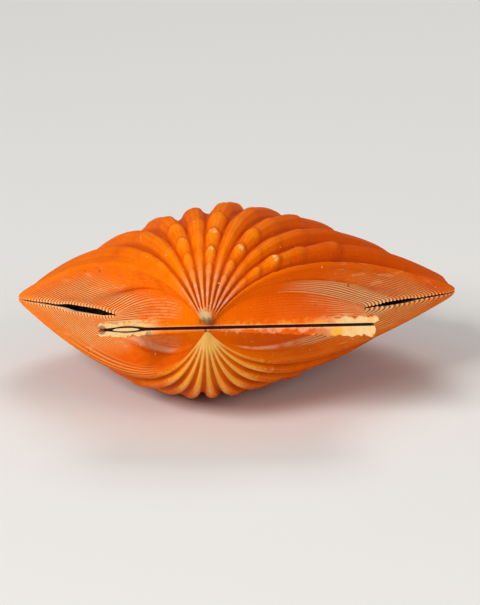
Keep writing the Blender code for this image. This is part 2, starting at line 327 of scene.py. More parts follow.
@dataclass(frozen=True)
class Margin:
    """The edge where the valves meet, seen square to the plane that they meet in."""

    hinge_left: float = 27.8
    hinge_right: float = 42.3
    notch_left: tuple[float, float] = (-25.5, 27.0)
    notch_right: tuple[float, float] = (39.0, 31.0)
    ear_bow: float = 1.5
    flank_left_deg: float = -41.6
    flank_right_deg: float = 47.3
    disc_axis_deg: float = 2.4
    disc_radius: float = 62.1
    disc_centre: float = 50.8
    corner_rounding: float = 7.0
    notch_rounding: float = 1.5
    notch_to_corner: float = 0.6
    rib_pitch_deg: float = 9.25
    rib_zone: float = 4.5
    outline_points: int = 1200
    edge_points: int = 200
    disc_points: int = 900
    notch_margin: int = 60

    def disc_point(self, degrees: float) -> np.ndarray:
        """Return the disc's edge at an angle from +Y, turned towards +X."""
        turn = math.radians(degrees)
        along = self.disc_centre * math.cos(turn - math.radians(self.disc_axis_deg))
        reach = along + math.sqrt(along ** 2 - self.disc_centre ** 2 + self.disc_radius ** 2)
        return np.array([reach * math.sin(turn), reach * math.cos(turn)])

    def runs(self) -> np.ndarray:
        """Set out the unrounded edge: ear, flank, disc, flank and ear.

        Returns:
            Its points from the left hinge end to the right one.
        """
        steps = np.linspace(0.0, 1.0, self.edge_points)[:, None]
        left_end = np.array([-self.hinge_left, 0.0])
        right_end = np.array([self.hinge_right, 0.0])
        notches = [np.array(self.notch_left), np.array(self.notch_right)]
        bow = np.array([1.0, 0.0]) * self.ear_bow * np.sin(np.pi * steps)
        tips = [self.disc_point(self.flank_left_deg), self.disc_point(self.flank_right_deg)]
        angles = np.linspace(self.flank_left_deg, self.flank_right_deg, self.disc_points)
        disc = np.array([self.disc_point(angle) for angle in angles])
        lines = [
            left_end + (notches[0] - left_end) * steps + bow,
            notches[0] + (tips[0] - notches[0]) * steps,
            disc,
            tips[1] + (notches[1] - tips[1]) * steps,
            notches[1] + (right_end - notches[1]) * steps - bow,
        ]
        return np.vstack([lines[0]] + [line[1:] for line in lines[1:]])

    def trace(self) -> tuple[np.ndarray, list[int]]:
        """Draw the rounded edge.

        Returns:
            Its points at equal steps from the left hinge end to the right one, and which of
            them are the two notches.
        """
        joined = self.runs()
        length = np.concatenate([[0.0], np.cumsum(np.linalg.norm(np.diff(joined, axis=0), axis=1))])
        at = np.linspace(0.0, length[-1], self.outline_points)
        points = np.stack([np.interp(at, length, joined[:, axis]) for axis in (0, 1)], axis=1)
        notches = (np.array(self.notch_left), np.array(self.notch_right))
        corners = [int(np.argmin(np.linalg.norm(points - notch, axis=1))) for notch in notches]
        step = at[1]
        rounded = points.copy()
        for index in range(self.outline_points):
            room = [
                abs(index - corner) * step * self.notch_to_corner + self.notch_rounding
                for corner in corners
            ]
            reach = int(min([self.corner_rounding, at[index], at[-1] - at[index]] + room) / step)
            rounded[index] = points[index - reach:index + reach + 1].mean(axis=0)
        return rounded, corners


@dataclass(frozen=True)
class Riblets:
    """How many fine riblets cross each part of a valve, and how finely they are meshed."""

    left_ear: int
    left_flank: int
    each_rib: int
    right_flank: int
    right_ear: int
    samples: int = 4


@dataclass(frozen=True)
class Columns:
    """The mesh's columns: places on the margin, and what they are."""

    x: np.ndarray
    y: np.ndarray
    rib: np.ndarray
    place: np.ndarray
    riblet: np.ndarray

    @classmethod
    def on(cls, margin: Margin, riblets: Riblets) -> "Columns":
        """Set out the columns on a margin, a fixed number to each riblet.

        Args:
            margin: The edge that they stand on.
            riblets: How many riblets each part of it has.

        Returns:
            The columns, from the left hinge end to the right one.
        """
        points, corners = margin.trace()
        index = np.arange(len(points), dtype=float)
        angle = np.degrees(np.arctan2(points[:, 0], points[:, 1])) - margin.disc_axis_deg
        rib = angle / margin.rib_pitch_deg
        disc = slice(corners[0] + margin.notch_margin, corners[1] - margin.notch_margin)
        rib_count = int(2 * margin.rib_zone)
        counts = (
            riblets.left_ear,
            riblets.left_flank,
            riblets.each_rib * rib_count,
            riblets.right_flank,
            riblets.right_ear,
        )
        ribbed = np.linspace(-margin.rib_zone, margin.rib_zone, counts[2] * riblets.samples + 1)
        ribbed = np.interp(ribbed, rib[disc], index[disc])
        ends = [0.0, corners[0], ribbed[0], ribbed[-1], corners[1], len(points) - 1.0]
        runs = [
            np.linspace(ends[k], ends[k + 1], counts[k] * riblets.samples + 1)
            for k in range(len(counts))
        ]
        runs[2] = ribbed
        stations = np.concatenate([run[:-1] for run in runs] + [runs[-1][-1:]])
        numbers = np.arange(len(stations)) / riblets.samples
        return cls(
            x=np.interp(stations, index, points[:, 0]),
            y=np.interp(stations, index, points[:, 1]),
            rib=np.interp(stations, index, rib),
            place=np.interp(stations, ends, [part.value for part in Place]),
            riblet=numbers,
        )

    def every(self, step: int) -> "Columns":
        """Return every so many of the columns, with both ends."""
        return Columns(
            self.x[::step], self.y[::step], self.rib[::step], self.place[::step], self.riblet[::step]
        )

    def riblet_wave(self) -> np.ndarray:
        """Return 1 on each riblet and 0 between them."""
        return 0.5 - 0.5 * np.cos(2.0 * np.pi * self.riblet)


@dataclass(frozen=True)
class Hinge:
    """The straight hinge: its gap, and the stretch where the two edges bow apart."""

    gap: float = 0.8
    bow: float = 0.5
    bow_from: float = -26.0
    bow_to: float = -14.5

    def half_gap(self, x: np.ndarray) -> np.ndarray:
        """Return half the gap at places along the hinge."""
        along = np.clip((x - self.bow_from) / (self.bow_to - self.bow_from), 0.0, 1.0)
        return self.gap / 2 + self.bow * np.sin(np.pi * along) ** 2


@dataclass(frozen=True)
class Rest:
    """How the closed pair lies on its lower valve: the far margin low, the hinge high."""

    pitch_deg: float = 7.3
    roll_deg: float = -0.5

    def turn(self) -> Matrix:
        """Return the turn from the shell's own axes to the frame's."""
        pitch = Matrix.Rotation(-math.radians(self.pitch_deg), 4, "X")
        return pitch @ Matrix.Rotation(math.radians(self.roll_deg), 4, "Y")

    def umbo(self, strip: np.ndarray) -> Vector:
        """Find the umbo in the frame.

        Args:
            strip: The corners of the ligament on the shell's own axes, in millimetres.

        Returns:
            The umbo's place in the frame, in metres.
        """
        turned = strip @ np.array(self.turn().to_3x3()).T * MM
        low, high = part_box("hinge_ligament")
        own = (turned.min(axis=0) + turned.max(axis=0)) / 2
        return (low + high) / 2 - Vector(own)


@dataclass(frozen=True)
class Attitude:
    """The whole move from the shell's own axes to the frame."""

    turn: Matrix
    umbo: Vector

    def lay(self, points: np.ndarray) -> np.ndarray:
        """Return points in the frame, in metres, none of them below the floor."""
        laid = points @ np.array(self.turn.to_3x3()).T * MM + np.array(self.umbo)
        laid[:, 2] = np.maximum(laid[:, 2], 0.0)
        return laid


class Surface:
    """Vertices, faces and what the vertices carry, gathered before the mesh is made."""

    def __init__(self) -> None:
        """Start with nothing."""
        self.points: list[np.ndarray] = []
        self.faces: list[tuple[int, ...]] = []
        self.carried: dict[str, list[np.ndarray]] = {}
        self.count = 0

    def add(self, points: np.ndarray, **carried: Fact) -> np.ndarray:
        """Add a line or grid of points.

        Args:
            points: Their places; the last axis is x, y and z.
            carried: What they carry, by name, as values that spread over the same grid.

        Returns:
            The numbers of the points, in the same arrangement.
        """
        shape = points.shape[:-1]
        flat = points.reshape(-1, 3)
        for name, value in carried.items():
            spread = np.broadcast_to(value, shape).reshape(-1)
            self.carried.setdefault(name, []).append(spread.astype(float))
        self.points.append(flat)
        first = self.count
        self.count += len(flat)
        return first + np.arange(len(flat)).reshape(shape)

    def quads(self, grid: np.ndarray) -> None:
        """Fill a grid of point numbers with faces."""
        corners = [grid[:-1, :-1], grid[:-1, 1:], grid[1:, 1:], grid[1:, :-1]]
        made = np.stack(corners, axis=-1).reshape(-1, 4)
        self.faces.extend(map(tuple, made.tolist()))

    def face(self, line: np.ndarray) -> None:
        """Add one face with many corners."""
        self.faces.append(tuple(line.tolist()))

    def fan(self, ring: np.ndarray, middle: int) -> None:
        """Close a ring of point numbers with triangles about one point."""
        following = np.roll(ring, -1)
        self.faces.extend((int(a), int(b), middle) for a, b in zip(ring, following))

    def zip_lines(self, line: np.ndarray, other: np.ndarray) -> None:
        """Join two lines of point numbers by triangles, keeping step along both.

        Args:
            line: The first line.
            other: The second, which runs the same way.
        """
        places = np.vstack(self.points)
        reach = []
        for numbers in (line, other):
            steps = np.linalg.norm(np.diff(places[numbers][:, :2], axis=0), axis=1)
            reach.append(np.concatenate([[0.0], np.cumsum(steps)]) / steps.sum())
        a = b = 0
        while a < len(line) - 1 or b < len(other) - 1:
            other_done = b == len(other) - 1
            if other_done or (a < len(line) - 1 and reach[0][a + 1] <= reach[1][b + 1]):
                self.faces.append((int(line[a]), int(line[a + 1]), int(other[b])))
                a += 1
            else:
                self.faces.append((int(line[a]), int(other[b + 1]), int(other[b])))
                b += 1

    def make(self, name: str, side: Side, attitude: Attitude, sharp_deg: float) -> bpy.types.Object:
        """Make the mesh object.

        Args:
            name: The piece's name.
            side: Which side of the meeting plane it is on.
            attitude: How it lies in the frame.
            sharp_deg: The angle above which an edge is left sharp.

        Returns:
            The object, linked to the scene.
        """
        points = np.vstack(self.points)
        points[:, 2] *= side.value
        mesh = bpy.data.meshes.new(name)
        mesh.from_pydata(attitude.lay(points).tolist(), [], self.faces)
        for label, pieces in self.carried.items():
            layer = mesh.attributes.new(label, "FLOAT", "POINT")
            layer.data.foreach_set("value", np.concatenate(pieces).astype(np.float32))
        own = mesh.attributes.new("own", "FLOAT_VECTOR", "POINT")
        own.data.foreach_set("vector", points.astype(np.float32).reshape(-1))
        model = bmesh.new()
        model.from_mesh(mesh)
        bmesh.ops.recalc_face_normals(model, faces=model.faces[:])
        model.to_mesh(mesh)
        model.free()
        mesh.shade_smooth()
        mesh.set_sharp_from_angle(angle=math.radians(sharp_deg))
        piece = bpy.data.objects.new(name, mesh)
        bpy.context.scene.collection.objects.link(piece)
        return piece


@dataclass(frozen=True)
class ShellFinish:
    """Satin shell: orange, with a painted highlight on crests and knobs, worn pale knob tips, painted shade
    in the grooves, and cream at the hinge.

    Of the fields that say where a colour is, those from umbo_from to riblets_to are growth, those
    from right_notch_shade to beak_ribs are places along the margin, and those from right_shade on
    are millimetres from the umbo.
    """

    name: str
    side: Side
    orange: Colour = tone(253, 120, 2)
    deep: Colour = tone(220, 78, 0)
    crest: Colour = tone(255, 138, 8)
    groove: Colour = tone(184, 58, 0)
    # Pale peach: worn knob tips, chips and the margin's rim, and also a painted highlight along the hinge's
    # edges.
    pale_wear_and_highlight: Colour = tone(255, 204, 150)
    peach: Colour = tone(250, 186, 120)
    tan: Colour = tone(246, 150, 52)
    riblet_groove: Colour = tone(156, 72, 20)
    cream: Colour = tone(233, 199, 140)
    bone: Colour = tone(222, 186, 130)
    pink: Colour = tone(236, 156, 104)
    blush: Colour = tone(252, 184, 142)
    wine: Colour = tone(160, 58, 14)
    stain: Colour = tone(134, 66, 50)
    golden: Colour = tone(240, 184, 96)
    yellow: Colour = tone(250, 168, 52)
    amber: Colour = tone(222, 104, 6)
    moss: Colour = tone(150, 136, 96)
    lilac: Colour = tone(232, 172, 146)
    ash: Colour = tone(176, 112, 88)
    inside: Colour = tone(236, 214, 196)
    roughness: float = 0.52
    roughness_range: float = 0.16
    shine: float = 0.02
    line_relief: float = 0.25
    pit_relief: float = 0.22
    brightness: float = 0.91
    line_contrast: float = 0.2
    riblets_a_line: float = 3.0
    dash_slant: float = 0.45
    umbo_from: float = 1.7
    umbo_change: float = 0.8
    beak_from: Span = (2.98, 3.28)
    beak_to: Span = (3.5, 3.95)
    riblets_to: float = 0.6
    right_notch_shade: Span = (3.85, 4.1)
    mottled_flanks: tuple[Span, Span] = ((1.2, 1.85), (3.1, 3.75))
    tan_flanks: tuple[Span, Span] = ((1.25, 1.95), (3.15, 3.9))
    ears: tuple[Span, Span] = ((0.15, 1.0), (4.0, 4.85))
    left_riblets: Span = (-1.0, 1.75)
    right_riblets: Span = (3.3, 6.0)
    between_notches: Span = (1.0, 4.0)
    middle_ribs: Span = (2.1, 2.9)
    notch_arcs: Span = (3.74, 4.06)
    smooth_flank: Span = (1.1, 1.8)
    coarse_flank: Span = (1.68, 2.0)
    right_flank: Span = (3.05, 3.75)
    left_streak: Span = (0.99, 1.1)
    right_streak: Span = (3.88, 4.0)
    beak_ribs: Span = (1.9, 3.05)
    right_shade: Span = (-5.0, 40.0)
    beak_cap: Span = (-1.9, 1.2)
    beak_stains: tuple[Oval, Oval] = ((1.5, 1.7, 0.8, 1.3), (-1.7, 1.7, 0.5, 0.9))
    dash: tuple[Span, Span] = ((-1.05, -0.35), (2.32, 2.5))
    dot: tuple[Span, Span] = ((0.42, 0.66), (2.5, 2.78))
    hinge_front: Span = (2.5, 5.0)
    left_band: Span = (-17.0, -11.0)
    right_band: Span = (24.0, 34.0)
    right_band_full: Span = (30.0, 36.0)
    right_band_more: float = 0.1
    band_edge: Span = (1.5, 2.3)
    band_raggedness: float = 3.0
    left_end_stain: Spot = (-26.9, 0.0, 1.2)
    left_bloom: Spot = (-26.3, -5.6, 4.6)
    yellow_spot: Spot = (32.8, -1.8, 1.7)
    moss_spot: Spot = (-15.0, -1.3, 0.8)
    umbo_spot: Spot = (-0.5, -0.7, 0.4)

    def make(self) -> bpy.types.Material:
        """Make the material.

        Returns:
            The material, which reads what the valve's mesh carries.
        """
        bench = ValveBench(self.name)
        fine_lines = bench.noise(bench.vector(bench.place * 14.0, bench.growth * 60.0), 1.0, 4.0)
        colour = self.ground(bench, fine_lines)
        for dress in (self.ribs, self.flanks, self.flecks, self.beak, self.hinge):
            colour = dress(bench, colour)
        colour = bench.blend(colour, self.inside, bench.rim.rise(1.5, 1.8))
        bench.feed(bench.shader.inputs["Base Color"], colour)
        bench.feed(bench.shader.inputs["Specular IOR Level"], self.shine)
        pits = bench.noise(bench.own, 1.6, 4.0)
        bench.feed(bench.shader.inputs["Roughness"], self.roughness + self.roughness_range * (pits - 0.5))
        relief = bench.raised(fine_lines, self.line_relief * MM)
        relief = bench.raised(pits, self.pit_relief * MM, relief)
        bench.feed(bench.shader.inputs["Normal"], relief)
        return bench.material

    def ground(self, bench: ValveBench, lines: Wire) -> Wire:
        """Paint the orange that the valve has all over: cloudy, banded, and deeper to the right, partly its
        own redder colour and partly painted shade.

        Args:
            bench: The bench that has read the mesh.
            lines: The fine growth lines.

        Returns:
            The first colour.
        """
        growth, place, clouds = bench.growth, bench.place, bench.clouds
        banding = bench.noise(bench.vector(place * 0.8, growth * 9.0), 1.0, 3.0)
        mottled = bench.noise(bench.vector(place * 7.0, growth * 9.0, 4.0), 1.0, 2.0).rise(0.56, 0.66)
        outer = place.among(self.mottled_flanks, 0.1) * growth.within(0.12, 0.6, 0.08)
        flank = place.among(self.tan_flanks, 0.2) * growth.fall(0.2, 0.9)
        colour = bench.layers(
            self.orange,
            (self.deep, clouds.rise(0.45, 0.75) * 0.5),
            (self.crest, banding.rise(0.5, 0.75) * 0.4),
            # Deeper to the right and on the right ear: partly the shell's own redder colour, partly painted
            # shade, as the light falls from the left.
            (self.deep, bench.x.rise(*self.right_shade) * 0.65),
            (self.deep, place.rise(*self.right_notch_shade) * 0.5),
            (self.peach, mottled * outer * 0.5),
            (self.tan, flank * clouds.rise(0.35, 0.6) * 0.5),
        )
        return bench.shaded(colour, self.brightness + self.line_contrast * lines)

    def ribs(self, bench: ValveBench, colour: Wire) -> Wire:
        """Paint a highlight on the crests and knobs, wear the knob tips pale, and paint shade into the
        grooves and at the knobs' feet.

        Args:
            bench: The bench that has read the mesh.
            colour: The colour so far.

        Returns:
            The colour with the ribs' own.
        """
        growth, place, crest, knob = bench.growth, bench.place, bench.crest, bench.knob
        ribbed = place.within(Place.FIRST_RIB.value - 0.06, Place.LAST_RIB.value + 0.06, 0.03)
        wear = bench.noise(bench.own, 0.9, 3.0)
        near = growth.rise(self.umbo_from, self.umbo_from + self.umbo_change) * ribbed
        fine = bench.riblet * growth.fall(1.2, 2.0)
        # Crest tops, which get a painted highlight.
        top = crest.rise(0.75, 1.0) * growth.rise(0.6, 1.4) * ribbed
        if self.side is Side.LOWER:
            # Painted shade in the grooves, amber towards the umbo.
            low = bench.blend(self.groove, self.amber, growth.rise(1.3, 2.2))
            colour = bench.blend(colour, low, crest.fall(0.0, 0.5) * ribbed * 0.9)
            colour = bench.shaded(colour, 1.0 - 0.16 * fine * ribbed)
            tops = (wear + 0.5 * (growth - 1.6)).rise(0.35, 0.6) * ribbed * crest.rise(0.2, 0.7)
            specks = wear.rise(0.52, 0.58) * crest.rise(0.5, 0.8) * growth.within(1.1, 1.55, 0.1)
            # Painted shadow at the knobs' feet, pale yellow crest tops and a golden umbo, a painted
            # highlight on the crest tops partway out, and grey specks.
            return bench.layers(
                colour,
                (self.groove, bench.foot * 0.5),
                (self.yellow, tops * 0.8),
                (self.golden, near * crest.rise(0.3, 0.8) * 0.7),
                (self.golden, top * growth.within(1.45, 1.9, 0.15) * 0.6),
                (self.ash, specks * ribbed * 0.45),
            )
        # Deeper on the ribs' outer parts; the rise towards the right is partly painted shade, as less light
        # reaches that side.
        outward = growth.fall(0.7, 1.5) * (0.2 + 0.3 * place.rise(2.1, 2.5))
        outward = outward.at_least(place.rise(2.35, 2.7) * 0.35)
        # Painted shade in the grooves and a painted highlight on the crest tops.
        colour = bench.layers(
            colour,
            (self.deep, outward * ribbed),
            (self.groove, crest.fall(0.0, 0.45) * ribbed * 0.6),
            (self.crest, top * 0.5),
        )
        colour = bench.shaded(colour, 1.0 - 0.1 * fine * ribbed)
        bloom = bench.noise(bench.own, 0.4, 1.0).rise(0.52, 0.6) * growth.rise(1.9, 2.3)
        # Painted shadow at each knob's foot beyond its blunt end, a painted highlight on the knobs with
        # their tips worn pale, and the umbo's wine, pink and lilac.
        return bench.layers(
            colour,
            (self.groove, bench.foot * 0.5),
            (self.crest, knob.rise(0.3, 0.7) * 0.5),
            (self.tan, knob.rise(0.75, 0.95) * 0.5),
            (self.pale_wear_and_highlight, knob.rise(0.75, 0.95) * wear.rise(0.48, 0.58) * 0.8),
            (self.wine, near * crest.fall(0.1, 0.6) * 0.9),
            (self.pink, near * crest.rise(0.4, 0.9) * 0.7),
            (self.lilac, bloom * near * crest.rise(0.2, 0.7) * 0.6),
        )

    def beak(self, bench: ValveBench, colour: Wire) -> Wire:
        """Wear the beak cream or golden, and stain it at its foot.

        Args:
            bench: The bench that has read the mesh.
            colour: The colour so far.

        Returns:
            The colour with the beak's own.
        """
        x, y, z = bench.x, bench.y, bench.z
        middle = bench.place.within(*self.beak_ribs, 0.15)
        grain = bench.noise(bench.own, 1.1, 3.0)
        ragged = bench.growth + 0.6 * (bench.clouds - 0.5) + 0.9 * (grain - 0.5)
        if self.side is Side.LOWER:
            return bench.blend(colour, self.golden, ragged.rise(2.5, 3.3) * middle * 0.9)
        cap = (x + 0.8 * (grain - 0.5)).within(*self.beak_cap, 0.3) * middle
        pale_wear_and_highlight = ragged.rise(*self.beak_from) * cap
        foot = bench.growth.rise(*self.beak_to) * middle
        right_stain, left_stain = (bench.oval(*stain) for stain in self.beak_stains)
        beside = right_stain.at_most(left_stain).fall(0.3, 1.3) * y.fall(1.0, 3.0) * 0.6
        along, above = self.dash
        dash = x.within(*along, 0.08) * (z + self.dash_slant * x).within(*above, 0.06)
        along, above = self.dot
        dot = x.within(*along, 0.08) * z.within(*above, 0.08)
        return bench.layers(
            colour,
            (self.bone, pale_wear_and_highlight),
            (self.stain, foot.at_least(beside) * 0.75),
            (self.stain, dash.at_least(dot) * y.fall(0.5, 1.5) * 0.9),
        )

    def flanks(self, bench: ValveBench, colour: Wire) -> Wire:
        """Pick out the riblets near the slits, pale with darker lines between them.

        Args:
            bench: The bench that has read the mesh.
            colour: The colour so far.

        Returns:
            The colour with that of the flanks and ears.
        """
        growth, place, riblet = bench.growth, bench.place, bench.riblet
        ragged = growth + 0.5 * (bench.clouds - 0.5)
        left = place.within(*self.left_riblets, 0.15) * ragged.fall(0.15, self.riblets_to)
        right = place.within(*self.right_riblets, 0.15) * ragged.fall(0.1, self.riblets_to - 0.1)
        patchy = bench.noise(bench.vector(place * 9.0, growth * 7.0), 1.0, 3.0).rise(0.3, 0.6)
        near = (left + right * 0.75).at_most(1.0) * (0.55 + 0.45 * patchy)
        furrow = riblet.fall(0.1, 0.6)
        lines = place.within(*self.between_notches, 0.1) * (1.0 - place.within(*self.middle_ribs, 0.1))
        lines = lines * growth.fall(0.8, 1.4) * furrow
        middle = place.among(self.ears, 0.15) * growth.within(0.3, 1.2, 0.25)
        arcs = place.within(*self.notch_arcs, 0.03) * growth.fall(0.4, 0.9)
        rim = bench.rim.rise(0.1, 0.6) * place.within(*self.between_notches, 0.05)
        colour = bench.layers(
            colour,
            (self.peach, middle * patchy * place.within(0.2, 1.0, 0.2) * 0.4),
            (self.deep, middle * furrow * 0.6),
            (self.groove, lines * 0.25),
            (self.peach, near * riblet.rise(0.15, 0.6) * 0.7),
            (self.riblet_groove, near * riblet.fall(0.1, 0.5) * 0.8),
            (self.cream, arcs * riblet.rise(0.3, 0.7) * 0.8),
            (self.pale_wear_and_highlight, rim * riblet.rise(0.3, 0.8) * 0.7),
        )
        return colour if self.side is Side.UPPER else self.lower_flanks(bench, colour, patchy)

    def lower_flanks(self, bench: ValveBench, colour: Wire, patchy: Wire) -> Wire:
        """Add what the lower valve's flanks have more: a smooth stretch, coarse lines, blush.

        Args:
            bench: The bench that has read the mesh.
            colour: The colour so far.
            patchy: Where the riblets' colours are strong.

        Returns:
            The colour with that of the lower flanks.
        """
        growth, place = bench.growth, bench.place
        coarse = (bench.riblet_number / self.riblets_a_line).ripple()
        smooth = place.within(*self.smooth_flank, 0.15) * growth.within(0.5, 1.9, 0.2)
        grown = growth.within(0.35, 1.3, 0.15)
        left = place.within(*self.coarse_flank, 0.07) * grown * (0.6 + 0.4 * patchy)
        right = place.within(*self.right_flank, 0.1) * grown * patchy
        streaks = place.within(*self.left_streak, 0.04) * growth.within(0.2, 1.1, 0.15)
        streaks = streaks + place.within(*self.right_streak, 0.05) * growth.within(0.6, 1.6, 0.2)
        return bench.layers(
            colour,
            (self.deep, smooth * (0.3 + 0.4 * patchy)),
            (self.riblet_groove, left * coarse.fall(0.1, 0.6) * 0.55),
            (self.peach, left * coarse.rise(0.5, 0.9) * 0.35),
            (self.tan, right * bench.riblet.rise(0.5, 0.9) * 0.45),
            (self.blush, streaks * bench.clouds.rise(0.25, 0.45) * 0.75),
        )

    def flecks(self, bench: ValveBench, colour: Wire) -> Wire:
        """Add small pale chips and a few dark scratches.

        Args:
            bench: The bench that has read the mesh.
            colour: The colour so far.

        Returns:
            The colour with the flecks.
        """
        chips = bench.noise(bench.own, 0.75, 2.0).rise(0.72, 0.76)
        stretched = bench.vector(bench.x * 1.2, bench.y * 0.3, bench.z * 0.4)
        scratches = bench.noise(stretched, 1.0, 2.0).rise(0.71, 0.74) * bench.growth.fall(1.0, 1.5)
        return bench.layers(colour, (self.pale_wear_and_highlight, chips * 0.7), (self.wine, scratches * 0.7))

    def hinge(self, bench: ValveBench, colour: Wire) -> Wire:
        """Add a painted highlight along the hinge's edges, the ragged cream bands at its ends, and its
        spots.

        Args:
            bench: The bench that has read the mesh.
            colour: The colour so far.

        Returns:
            The colour with the hinge's own.
        """
        x, y = bench.x, bench.y
        away = bench.z.math("ABSOLUTE")
        front = y.fall(*self.hinge_front)
        ragged = bench.noise(bench.own, 0.5, 2.0)
        patches = bench.noise(bench.own, 0.45, 2.0)
        left = (x + 2.0 * (patches - 0.5)).fall(*self.left_band)
        jagged = x + 4.0 * (patches - 0.5)
        right = jagged.rise(*self.right_band) * (0.45 + 0.55 * jagged.rise(*self.right_band_full))
        height = away + self.band_raggedness * (ragged - 0.5)
        low, high = self.band_edge
        bands = height.fall(low, high) * left
        bands = bands + height.fall(low + self.right_band_more, high + self.right_band_more) * right
        pale = bench.blend(self.cream, self.yellow, patches.rise(0.52, 0.68) * 0.5)
        # Painted highlight, patchy, along the hinge's edges to the right of the umbo.
        edging = height.fall(0.5, 2.0) * x.rise(1.0, 8.0) * patches.rise(0.38, 0.55)
        colour = bench.layers(
            colour,
            (self.blush if self.side is Side.LOWER else self.yellow, edging * front * 0.5),
            (pale, bands * front * 0.9),
            # Painted highlight along both edges next to the ligament.
            (self.pale_wear_and_highlight, away.fall(0.5, 0.85) * front * 0.25),
            (self.stain, bench.spot(self.left_end_stain) * front),
        )
        if self.side is Side.UPPER:
            return colour
        bloom = bench.spot(self.left_bloom, 0.0) * y.fall(16.0, 30.0)
        return bench.layers(
            colour,
            (self.blush, bloom * away.rise(2.0, 2.6) * 0.8),
            (self.yellow, bench.spot(self.yellow_spot) * front),
            (self.moss, bench.spot(self.moss_spot) * front),
            (self.stain, bench.spot(self.umbo_spot) * front),
        )


@dataclass(frozen=True)
class Knobs:
    """The knobs on a valve's grid: height, the dips at their feet, and how wide they make the rib."""

    height: np.ndarray
    foot: np.ndarray
    swell: np.ndarray


@dataclass(frozen=True)
class Slit:
    """The gap that the closed valves leave along one flank."""

    wide: float
    slight: float
    wide_from: float
    wide_to: float
    change: float = 0.12
    start: float = 0.06
    fade_from: float = 0.6
    fade: float = 0.35

    def width(self, reach: np.ndarray) -> np.ndarray:
        """Return its width at places from the notch, 0, to the first rib, 1."""
        thin = self.slight * ramp(reach, 0.0, self.start) * (1.0 - ramp(reach, self.fade_from, self.fade))
        opened = ramp(reach, self.wide_from, self.change)
        closed = ramp(reach, self.wide_to, self.change)
        return thin + (self.wide - self.slight) * opened * (1.0 - closed)


